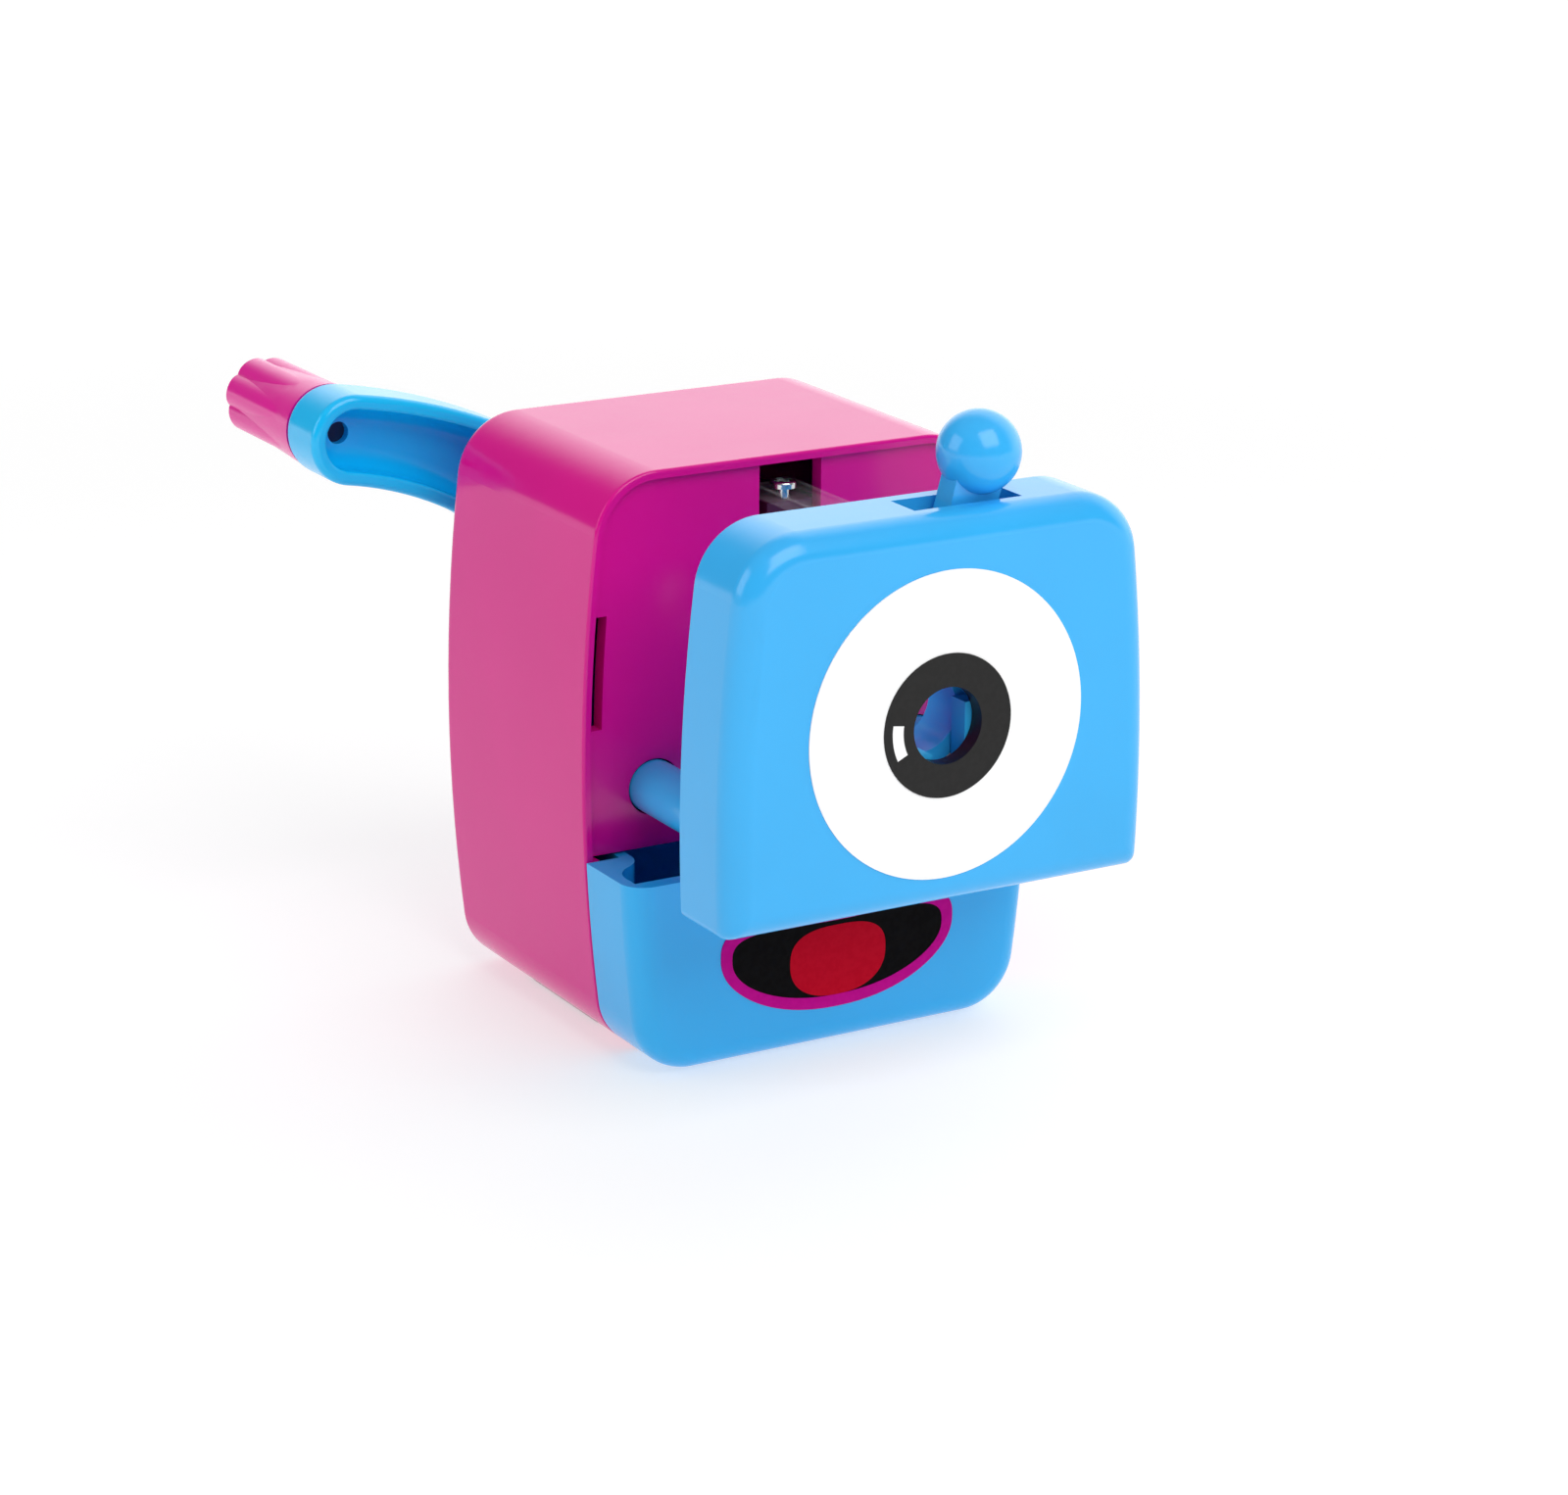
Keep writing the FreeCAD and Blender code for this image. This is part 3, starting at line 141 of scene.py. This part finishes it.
class Wiring:
    """A node tree and the ways to add to it."""

    def __init__(self, tree: Any) -> None:
        """Takes over an empty node tree."""
        self.tree = tree
        self.tree.nodes.clear()

    def node(self, kind: str, settings: dict | None = None, inputs: dict | None = None) -> Any:
        """A node of any type.

        Args:
            kind: The node's type.
            settings: Its settings, set first.
            inputs: Values or links of its sockets, by name or index.

        Returns:
            The node.
        """
        made = self.tree.nodes.new(kind)
        for key, value in (settings or {}).items():
            setattr(made, key, value)
        for key, value in (inputs or {}).items():
            self.feed(made.inputs[key], value)
        return made

    def feed(self, socket: Any, value: Any) -> None:
        """Sets a socket, or links it.

        Args:
            socket: The socket.
            value: Its value, or the number or socket that it is linked to.
        """
        if isinstance(value, Number):
            value = value.socket
        if isinstance(value, bpy.types.NodeSocket):
            self.tree.links.new(value, socket)
        else:
            socket.default_value = value

    def ramp(
        self, value: Any, low: float, high: float, start: float = 0.0, end: float = 1.0
    ) -> Number:
        """Number that goes smoothly from start to end as value goes from low to high.

        Args:
            value: The number or socket that is followed.
            low: Its value at the start.
            high: Its value at the end.
            start: The result up to low.
            end: The result from high on.

        Returns:
            The result.
        """
        node = self.node(
            "ShaderNodeMapRange", {"interpolation_type": "SMOOTHSTEP", "clamp": True},
            {"Value": value, "From Min": low, "From Max": high, "To Min": start, "To Max": end},
        )
        return Number(self, node.outputs[0])


class Shader(Wiring):
    """One material's node tree around a Principled surface."""

    def __init__(self, name: str) -> None:
        """Makes a material with a plain Principled surface.

        Args:
            name: The material's name.
        """
        self.material = bpy.data.materials.new(name)
        self.material.use_nodes = True
        super().__init__(self.material.node_tree)
        self.surface = self.node("ShaderNodeBsdfPrincipled")
        self.node("ShaderNodeOutputMaterial", {}, {"Surface": self.surface.outputs[0]})
        self.place = self.node("ShaderNodeTexCoord").outputs["Object"]

    def set(self, **values: Any) -> None:
        """Sets or links inputs of the Principled surface; an underscore stands for a space."""
        for key, value in values.items():
            self.feed(self.surface.inputs[key.replace("_", " ")], value)

    def noise(
        self, scale: float, detail: float = 2.0, stretch: Sequence[float] = (1, 1, 1)
    ) -> Number:
        """Noise in the object's own space.

        Args:
            scale: Cells per metre.
            detail: Octaves.
            stretch: Factor on each axis, below 1 to draw the grain out.

        Returns:
            The noise's value, from 0 to 1.
        """
        mapping = self.node("ShaderNodeMapping", {}, {"Vector": self.place, "Scale": stretch})
        noise = self.node(
            "ShaderNodeTexNoise", {}, {"Vector": mapping.outputs[0], "Scale": scale, "Detail": detail}
        )
        return Number(self, noise.outputs["Fac"])

    def blend(self, factor: Any, first: Any, second: Any) -> Any:
        """Colour that runs from first to second as factor goes from 0 to 1.

        Args:
            factor: The number or socket that drives it.
            first: The colour at 0.
            second: The colour at 1.

        Returns:
            The colour's socket.
        """
        mix = self.node("ShaderNodeMix", {"data_type": "RGBA"}, {})
        self.feed(mix.inputs["Factor"], factor)
        for index, value in ((MIX_FIRST_COLOUR, first), (MIX_SECOND_COLOUR, second)):
            if isinstance(value, tuple):
                value = (*value, 1.0)
            self.feed(mix.inputs[index], value)
        return mix.outputs[MIX_COLOUR_RESULT]

    def bump(self, height: Number, distance: float) -> None:
        """Bump on the surface's normal.

        Args:
            height: The bump's height, from 0 to 1.
            distance: Its depth in metres.
        """
        node = self.node(
            "ShaderNodeBump", {}, {"Height": height, "Distance": distance, "Strength": 1.0}
        )
        self.set(Normal=node.outputs[0])


# ---- Finishes ----------------------------------------------------------------------------------
@dataclass(frozen=True)
class MouldedPlastic:
    """Moulded plastic: slightly uneven pigment, broad duller patches and a gently rippled skin."""

    name: str
    colour: Colour
    roughness: float = 0.19
    pigment: float = 0.04
    ripple: float = 0.000012
    gloss: float = 0.5
    refraction: float = 1.5
    flow_cells: float = 45.0
    flow_edge: tuple[float, float] = (0.3, 0.7)
    patch_cells: float = 70.0
    patch_edge: tuple[float, float] = (0.4, 0.8)
    patch_dulling: float = 0.05
    ripple_cells: float = 420.0

    def material(self) -> bpy.types.Material:
        """Makes the finish.

        Returns:
            Its material.
        """
        shader = Shader(self.name)
        deep = tuple(channel * (1 - self.pigment) for channel in self.colour)
        flow = shader.ramp(shader.noise(self.flow_cells, detail=3.0), *self.flow_edge)
        shader.set(Base_Color=shader.blend(flow, deep, self.colour))
        handled = shader.ramp(shader.noise(self.patch_cells), *self.patch_edge)
        shader.set(Roughness=handled * self.patch_dulling + self.roughness)
        shader.set(Specular_IOR_Level=self.gloss, IOR=self.refraction)
        shader.bump(shader.noise(self.ripple_cells, detail=1.0), self.ripple)
        return shader.material


@dataclass(frozen=True)
class PrintedInk:
    """Opaque printed ink: even, a little duller than the plastic, with a fine screen grain."""

    name: str
    colour: Colour
    roughness: float = 0.38
    gloss: float = 0.25
    grain_cells: float = 1500.0
    grain_edge: tuple[float, float] = (0.35, 0.65)
    grain_dulling: float = 0.06
    grain_depth: float = 0.000003
    thin_gain: float = 1.06
    thin_lift: float = 0.002

    def material(self) -> bpy.types.Material:
        """Makes the finish.

        Returns:
            Its material.
        """
        shader = Shader(self.name)
        grain = shader.noise(self.grain_cells)
        thin = tuple(
            min(1.0, channel * self.thin_gain + self.thin_lift) for channel in self.colour
        )
        speckle = shader.ramp(grain, *self.grain_edge)
        shader.set(Base_Color=shader.blend(speckle, self.colour, thin))
        shader.set(Roughness=grain * self.grain_dulling + self.roughness)
        shader.set(Specular_IOR_Level=self.gloss)
        shader.bump(grain, self.grain_depth)
        return shader.material


@dataclass(frozen=True)
class Metal:
    """Bare metal with a fine drawn or ground grain."""

    name: str
    colour: Colour
    roughness: float = 0.3
    grain_cells: float = 2600.0
    grain_stretch: tuple[float, float, float] = (1.0, 0.06, 1.0)
    grain_depth: float = 0.000008
    grain_dulling: float = 0.2
    stain_cells: float = 260.0
    stain_edge: tuple[float, float] = (0.35, 0.75)
    stain_shade: float = 0.7

    def material(self) -> bpy.types.Material:
        """Makes the finish.

        Returns:
            Its material.
        """
        shader = Shader(self.name)
        lines = shader.noise(self.grain_cells, 3.0, self.grain_stretch)
        dull = tuple(channel * self.stain_shade for channel in self.colour)
        stain = shader.ramp(shader.noise(self.stain_cells, detail=4.0), *self.stain_edge)
        shader.set(Base_Color=shader.blend(stain, self.colour, dull), Metallic=1.0)
        smoothest = self.roughness - self.grain_dulling / 2
        shader.set(Roughness=lines * self.grain_dulling + smoothest)
        shader.bump(lines, self.grain_depth)
        return shader.material


@dataclass(frozen=True)
class ClearPlastic:
    """Clear moulded plastic, all but unseen face on, with a painted sheen that makes it paler along
    its edges.
    """

    name: str
    colour: Colour
    roughness: float = 0.08
    refraction: float = 1.49
    body: float = 0.01
    # Strength of the painted sheen along the edges.
    edge_sheen: float = 0.09
    edge_blend: float = 0.25
    haze: float = 0.03
    haze_cells: float = 500.0
    haze_edge: tuple[float, float] = (0.35, 0.7)
    haze_dulling: float = 0.06

    def material(self) -> bpy.types.Material:
        """Makes the finish.

        Returns:
            Its material.
        """
        shader = Shader(self.name)
        haze = shader.ramp(shader.noise(self.haze_cells, detail=3.0), *self.haze_edge)
        weight = shader.node("ShaderNodeLayerWeight", {}, {"Blend": self.edge_blend})
        edge_sheen_mask = Number(shader, weight.outputs["Facing"])
        shader.set(Base_Color=(*self.colour, 1.0), IOR=self.refraction)
        shader.set(Roughness=haze * self.haze_dulling + self.roughness)
        # Painted sheen: more of the pale base shows at grazing angles, standing in for the reflection
        # along the edges.
        shader.set(Alpha=edge_sheen_mask * self.edge_sheen + haze * self.haze + self.body)
        return shader.material


@dataclass(frozen=True)
class Rubber:
    """Matt rubber with a fine grain."""

    name: str
    colour: Colour
    roughness: float = 0.7
    grain_cells: float = 2400.0
    grain_dulling: float = 0.15
    grain_depth: float = 0.00004
    dust_cells: float = 180.0
    dust_lift: float = 0.05

    def material(self) -> bpy.types.Material:
        """Makes the finish.

        Returns:
            Its material.
        """
        shader = Shader(self.name)
        grain = shader.noise(self.grain_cells, detail=4.0)
        dust = tuple(min(1.0, channel + self.dust_lift) for channel in self.colour)
        dusty = shader.noise(self.dust_cells, detail=4.0)
        shader.set(Base_Color=shader.blend(dusty, self.colour, dust))
        shader.set(Roughness=grain * self.grain_dulling + self.roughness)
        shader.bump(grain, self.grain_depth)
        return shader.material


class Finish(Enum):
    """Every finish on the sharpener; a value's name is the record's material slot in capitals."""

    HOUSING_MAGENTA = MouldedPlastic("housing_magenta", srgb(220, 5, 140), roughness=0.15, gloss=0.34)
    DRAWER_BLUE = MouldedPlastic("drawer_blue", srgb(36, 180, 248))
    CARRIAGE_BLUE = MouldedPlastic("carriage_blue", srgb(54, 180, 248), roughness=0.17)
    CRANK_BLUE = MouldedPlastic("crank_blue", srgb(8, 190, 250))
    HANDLE_MAGENTA = MouldedPlastic("handle_magenta", srgb(230, 18, 154), gloss=0.4)
    DISC_WHITE = PrintedInk("disc_white", (0.97, 0.97, 0.97))
    RING_BLACK = PrintedInk("ring_black", srgb(14, 13, 13), roughness=0.34, gloss=0.3)
    MOUTH_LIPS = PrintedInk("mouth_lips", srgb(200, 4, 138), roughness=0.6, gloss=0.05)
    MOUTH_BLACK = PrintedInk("mouth_black", srgb(7, 5, 6), roughness=0.6, gloss=0.05)
    MOUTH_RED = PrintedInk("mouth_red", srgb(196, 0, 34), roughness=0.6, gloss=0.05)
    GEAR_WHITE = MouldedPlastic("gear_white", srgb(232, 230, 220), roughness=0.45)
    # Painted shade: the ring gear is coloured dark maroon so that the opening in the front panel reads
    # as shadowed.
    GEAR_DARK = MouldedPlastic("gear_dark", srgb(70, 14, 54), roughness=0.5, gloss=0.3)
    CLEAR_PLASTIC = ClearPlastic("clear_plastic", (0.96, 0.98, 0.99))
    RUBBER = Rubber("rubber", srgb(30, 30, 32))
    SCREW_STEEL = Metal("screw_steel", (0.76, 0.80, 0.80), roughness=0.22)
    SPRING_STEEL = Metal("spring_steel", (0.58, 0.58, 0.60))
    STEEL = Metal("steel", (0.64, 0.65, 0.66))
    # Painted shade: the handle pin's blue-black stands in for the shadowed pit in the crank arm's
    # recess, not for a blackened finish.
    BLACK_STEEL = Metal("black_steel", (0.02, 0.05, 0.11), roughness=0.5)
    CUTTER_STEEL = Metal("cutter_steel", (0.40, 0.41, 0.43), roughness=0.35)

    @property
    def slot(self) -> str:
        """The record's material slot."""
        return self.name.lower()


class Workshop:
    """Shared materials and the ways that meshes become pieces."""

    def __init__(self, frame: dict) -> None:
        """Keeps the loaded frame."""
        self.nodes = frame["nodes"]
        self.materials: dict[Finish, bpy.types.Material] = {}

    def material(self, finish: Finish) -> bpy.types.Material:
        """The material of a finish, made once.

        Args:
            finish: The finish.

        Returns:
            Its material.
        """
        if finish not in self.materials:
            self.materials[finish] = finish.value.material()
        return self.materials[finish]

    def dress(self, finish: Finish, *names: str) -> None:
        """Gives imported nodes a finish.

        Args:
            finish: The finish.
            names: The nodes.
        """
        for name in names:
            node = self.nodes[name]
            if not node.material_slots:
                node.data.materials.append(None)
            for place in node.material_slots:
                place.material = self.material(finish)
            LOG.info("dressed %s in %s", name, finish.slot)

    def piece(
        self, name: str, mesh: bmesh.types.BMesh, finish: Finish, body: str
    ) -> bpy.types.Object:
        """A new object that rides on a body.

        Args:
            name: Its name.
            mesh: Its mesh, in metres in the row frame, which is used up.
            finish: Its finish.
            body: The body that it rides on.

        Returns:
            The object.
        """
        data = bpy.data.meshes.new(name)
        bmesh.ops.recalc_face_normals(mesh, faces=mesh.faces)
        mesh.to_mesh(data)
        mesh.free()
        made = bpy.data.objects.new(name, data)
        bpy.context.scene.collection.objects.link(made)
        data.materials.append(self.material(finish))
        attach(made, body)
        LOG.info("made %s on %s", name, body)
        return made


def front_plate(
    outer: Sequence[Point2], y: float, thickness: float, inner: Sequence[Point2] | None = None
) -> bmesh.types.BMesh:
    """Thin plate that faces the front, solid or with a hole.

    Args:
        outer: (x, z) points round the plate, in metres.
        y: The plate's back.
        thickness: How far it stands forward of its back.
        inner: As many (x, z) points round the hole, if it has one.

    Returns:
        The plate as a closed mesh.
    """
    mesh = bmesh.new()
    rings = []
    for points in (outer, inner):
        if points is None:
            continue
        for depth in (y, y - thickness):
            rings.append([mesh.verts.new((x, depth, z)) for x, z in points])
    count = len(outer)
    for index in range(count):
        after = (index + 1) % count
        mesh.faces.new((rings[0][index], rings[0][after], rings[1][after], rings[1][index]))
        if inner is not None:
            mesh.faces.new((rings[2][index], rings[3][index], rings[3][after], rings[2][after]))
            for outside, hole in ((rings[0], rings[2]), (rings[1], rings[3])):
                mesh.faces.new((outside[index], outside[after], hole[after], hole[index]))
    if inner is None:
        mesh.faces.new(rings[0])
        mesh.faces.new(rings[1])
    return mesh


# ---- Sub-assemblies ----------------------------------------------------------------------------
@dataclass
class Housing:
    """Case, front panel, ring gear, bush, screws, springs and the pad under it all."""

    shop: Workshop

    def build(self) -> None:
        """Dresses the housing's pieces."""
        self.shop.dress(Finish.HOUSING_MAGENTA, "body_shell", "front_panel")
        self.shop.dress(Finish.RUBBER, "base_pad")
        self.shop.dress(Finish.GEAR_WHITE, "rear_bush")
        # The ring gear's dark maroon is painted shade for the opening in the front panel.
        self.shop.dress(Finish.GEAR_DARK, "ring_gear")
        self.shop.dress(Finish.SCREW_STEEL, "gear_screws", "tongue_screw")
        self.shop.dress(Finish.SPRING_STEEL, "feed_spring_left", "feed_spring_right")


@dataclass
class Drawer:
    """Shavings drawer with a plain printed mouth on its front."""

    shop: Workshop
    mouth_half_width: float = 16.0 * MM
    mouth_half_height: float = 6.2 * MM
    mouth_centre_z: float = 11.6 * MM
    smile: float = 2.6 * MM
    lip: float = 1.5 * MM
    squareness: float = 2.5
    tongue_half_width: float = 6.6 * MM
    tongue_half_height: float = 4.4 * MM
    dark_thickness: float = 0.05 * MM
    tongue_thickness: float = 0.075 * MM
    lip_thickness: float = 0.1 * MM

    def outline(self, half_width: float, half_height: float, rise: float = 0.0) -> list[Point2]:
        """Rounded shape that bends up towards its ends.

        Args:
            half_width: Half its width.
            half_height: Half its height.
            rise: How far its middle stands above the mouth's.

        Returns:
            Its (x, z) points.
        """
        points = []
        power = 2 / self.squareness
        for index in range(OUTLINE_POINTS):
            angle = math.tau * index / OUTLINE_POINTS
            x = half_width * math.copysign(abs(math.cos(angle)) ** power, math.cos(angle))
            z = half_height * math.copysign(abs(math.sin(angle)) ** power, math.sin(angle))
            bend = self.smile * (x / self.mouth_half_width) ** 2
            points.append((x, self.mouth_centre_z + rise + z + bend))
        return points

    def build(self) -> None:
        """Dresses the drawer and prints the mouth on it."""
        self.shop.dress(Finish.DRAWER_BLUE, "shavings_drawer")
        face_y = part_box("shavings_drawer")[0].y
        outer = self.outline(self.mouth_half_width, self.mouth_half_height)
        inner = self.outline(self.mouth_half_width - self.lip, self.mouth_half_height - self.lip)
        lips = front_plate(outer, face_y, self.lip_thickness, inner)
        self.shop.piece("mouth_lips", lips, Finish.MOUTH_LIPS, "drawer")
        dark = front_plate(inner, face_y, self.dark_thickness)
        self.shop.piece("mouth_dark", dark, Finish.MOUTH_BLACK, "drawer")
        rise = self.lip + self.tongue_half_height - self.mouth_half_height
        tongue = self.outline(self.tongue_half_width, self.tongue_half_height, rise)
        plate = front_plate(tongue, face_y, self.tongue_thickness)
        self.shop.piece("mouth_tongue", plate, Finish.MOUTH_RED, "drawer")


@dataclass
class Carriage:
    """Pull-out carriage with its disc, rods, clear tongue and screws, and a glint on the ring."""

    shop: Workshop
    axis_z: float = 46.5 * MM
    glint_inner_r: float = 5.9 * MM
    glint_outer_r: float = 7.3 * MM
    glint_start: float = math.radians(172)
    glint_end: float = math.radians(206)
    glint_thickness: float = 0.05 * MM
    glint_points: int = 12

    def glint(self) -> list[Point2]:
        """Part of a ring between two radii and two angles.

        Returns:
            Its (x, z) points.
        """
        points = []
        for radius, first, last in (
            (self.glint_outer_r, self.glint_start, self.glint_end),
            (self.glint_inner_r, self.glint_end, self.glint_start),
        ):
            for index in range(self.glint_points):
                angle = first + (last - first) * index / (self.glint_points - 1)
                points.append((radius * math.cos(angle), self.axis_z + radius * math.sin(angle)))
        return points

    def build(self) -> None:
        """Dresses the carriage's pieces."""
        self.shop.dress(
            Finish.CARRIAGE_BLUE, "carriage_shell", "carriage_back_plate", "guide_rod_left",
            "guide_rod_right",
        )
        self.shop.dress(Finish.DISC_WHITE, "face_disc")
        self.shop.dress(Finish.RING_BLACK, "bore_ring")
        self.shop.dress(Finish.CLEAR_PLASTIC, "guide_tongue")
        self.shop.dress(
            Finish.SCREW_STEEL, "carriage_screws", "rod_screws", "rod_washers", "rod_end_screws"
        )
        ring_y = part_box("bore_ring")[0].y
        plate = front_plate(self.glint(), ring_y, self.glint_thickness)
        self.shop.piece("ring_glint", plate, Finish.DISC_WHITE, "carriage")
        self.shop.dress(Finish.STEEL, "jaw_pins")
        self.shop.dress(Finish.SPRING_STEEL, "clamp_spring")


@dataclass
class Clamp:
    """Clamp lever, cam ring and the three jaws."""

    shop: Workshop

    def build(self) -> None:
        """Dresses the clamp's pieces."""
        self.shop.dress(
            Finish.CARRIAGE_BLUE, "clamp_lever", "jaw_upper_left", "jaw_upper_right", "jaw_lower"
        )
        self.shop.dress(Finish.GEAR_WHITE, "cam_ring")
        self.shop.dress(Finish.SCREW_STEEL, "lever_screw")


@dataclass
class Crank:
    """Crank arm, its handle, the shaft and the cutter that it carries round."""

    shop: Workshop

    def build(self) -> None:
        """Dresses the crank's and the cutter's pieces."""
        self.shop.dress(Finish.CRANK_BLUE, "crank_arm")
        self.shop.dress(Finish.HANDLE_MAGENTA, "crank_handle")
        self.shop.dress(Finish.GEAR_WHITE, "cutter_carrier")
        self.shop.dress(Finish.STEEL, "crank_shaft", "cutter_axle")
        # The handle pin's near-black is painted shade of the pit in the crank arm's recess.
        self.shop.dress(Finish.BLACK_STEEL, "handle_pin")
        self.shop.dress(Finish.SPRING_STEEL, "shaft_clip")
        self.shop.dress(Finish.SCREW_STEEL, "crank_screw")
        self.shop.dress(Finish.CUTTER_STEEL, "helical_cutter", "cutter_pinion")


@dataclass(frozen=True)
class SoftLight:
    """Square area light: where it hangs, its side in metres and its power in watts."""

    name: str
    place: tuple[float, float, float]
    width: float
    power: float


@dataclass
class Studio:
    """White floor, soft lights and the camera."""

    key_light: SoftLight = SoftLight("key", (0.05, -0.65, 0.7), 0.7, 5.2)
    side_light: SoftLight = SoftLight("side", (-0.9, 0.25, 0.45), 0.6, 2.4)
    aim_height: float = 40 * MM
    camera_place: Vector = field(default_factory=lambda: Vector((-247.2, -430.9, 187.6)) * MM)
    camera_yaw: float = math.radians(30.82)
    camera_pitch: float = math.radians(-17.66)
    camera_roll: float = math.radians(0.61)
    camera_lens: float = 97.36
    camera_near_clip: float = 0.01
    floor_half: float = 12.0
    belt_light: float = 0.22
    backdrop_light: float = 1.75
    backdrop_side: tuple[float, float, float] = (0.8, 0.6, 0.0)
    backdrop_edge: tuple[float, float] = (0.3, 0.75)
    overhead_light: float = 0.3
    overhead_edge: tuple[float, float] = (0.55, 0.85)
    floor_colour: float = 0.5
    floor_roughness: float = 0.8
    floor_gloss: float = 0.2
    near_glow: float = 0.54
    far_glow: float = 0.95
    glow_edge: tuple[float, float] = (0.25, 1.0)

    def camera(self) -> None:
        """Makes the camera and makes it the scene's."""
        data = bpy.data.cameras.new("camera")
        data.lens = self.camera_lens
        data.clip_start = self.camera_near_clip
        made = bpy.data.objects.new("camera", data)
        yaw, pitch, roll = self.camera_yaw, self.camera_pitch, self.camera_roll
        ahead = Vector((
            math.sin(yaw) * math.cos(pitch), math.cos(yaw) * math.cos(pitch), math.sin(pitch)
        ))
        right = Vector((math.cos(yaw), -math.sin(yaw), 0))
        up = right.cross(ahead)
        rolled_right = right * math.cos(roll) + up * math.sin(roll)
        rolled_up = up * math.cos(roll) - right * math.sin(roll)
        turn = Matrix((rolled_right, rolled_up, -ahead)).transposed()
        made.matrix_world = Matrix.Translation(self.camera_place) @ turn.to_4x4()
        bpy.context.scene.collection.objects.link(made)
        bpy.context.scene.camera = made

    def hang(self, light: SoftLight) -> None:
        """Makes a soft light, aimed at the middle of the object.

        Args:
            light: The light.
        """
        data = bpy.data.lights.new(light.name, "AREA")
        data.size = light.width
        data.energy = light.power
        made = bpy.data.objects.new(light.name, data)
        place = Vector(light.place)
        made.location = place
        target = Vector((0, 0, self.aim_height))
        made.rotation_euler = (target - place).to_track_quat("-Z", "Y").to_euler()
        bpy.context.scene.collection.objects.link(made)

    def surroundings(self) -> None:
        """Makes the white surroundings: an even belt, a bright backdrop to one side, and overhead."""
        world = bpy.data.worlds.new("studio")
        world.use_nodes = True
        wiring = Wiring(world.node_tree)
        direction = wiring.node("ShaderNodeTexCoord").outputs["Generated"]
        height = wiring.node("ShaderNodeSeparateXYZ", {}, {0: direction}).outputs["Z"]
        far = wiring.node(
            "ShaderNodeVectorMath", {"operation": "DOT_PRODUCT"}, {0: direction, 1: self.backdrop_side}
        ).outputs["Value"]
        backdrop = wiring.ramp(far, *self.backdrop_edge, 0.0, self.backdrop_light)
        overhead = wiring.ramp(height, *self.overhead_edge, 0.0, self.overhead_light)
        strength = backdrop + overhead + self.belt_light
        background = wiring.node("ShaderNodeBackground", {}, {"Strength": strength})
        wiring.node("ShaderNodeOutputWorld", {}, {"Surface": background.outputs[0]})
        bpy.context.scene.world = world

    def lights(self) -> None:
        """Makes the soft lights."""
        self.hang(self.key_light)
        self.hang(self.side_light)

    def floor(self) -> None:
        """Makes the pale floor, which glows more away from the object."""
        half = self.floor_half
        mesh = bmesh.new()
        corners = ((-half, -half), (half, -half), (half, half), (-half, half))
        mesh.faces.new([mesh.verts.new((x, y, 0)) for x, y in corners])
        data = bpy.data.meshes.new("floor")
        mesh.to_mesh(data)
        mesh.free()
        made = bpy.data.objects.new("floor", data)
        shader = Shader("floor_white")
        pale = (*(self.floor_colour,) * 3, 1.0)
        shader.set(Base_Color=pale, Roughness=self.floor_roughness)
        shader.set(Specular_IOR_Level=self.floor_gloss)
        distance = shader.node(
            "ShaderNodeVectorMath", {"operation": "LENGTH"}, {0: shader.place}
        ).outputs["Value"]
        away = shader.ramp(distance, *self.glow_edge)
        near, far = (self.near_glow,) * 3, (self.far_glow,) * 3
        shader.set(Emission_Color=shader.blend(away, near, far), Emission_Strength=1.0)
        data.materials.append(shader.material)
        bpy.context.scene.collection.objects.link(made)

    def build(self) -> None:
        """Makes the camera, the lights and the floor."""
        self.camera()
        self.surroundings()
        self.lights()
        self.floor()
        bpy.context.scene.view_settings.view_transform = "Standard"


def main() -> None:
    """Builds the sub-assemblies in order."""
    logging.basicConfig(level=logging.INFO, format="%(name)s: %(message)s")
    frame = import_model()
    shop = Workshop(frame)
    Studio().build()
    for assembly in (Housing(shop), Drawer(shop), Carriage(shop), Clamp(shop), Crank(shop)):
        assembly.build()


if __name__ == "__main__":
    main()
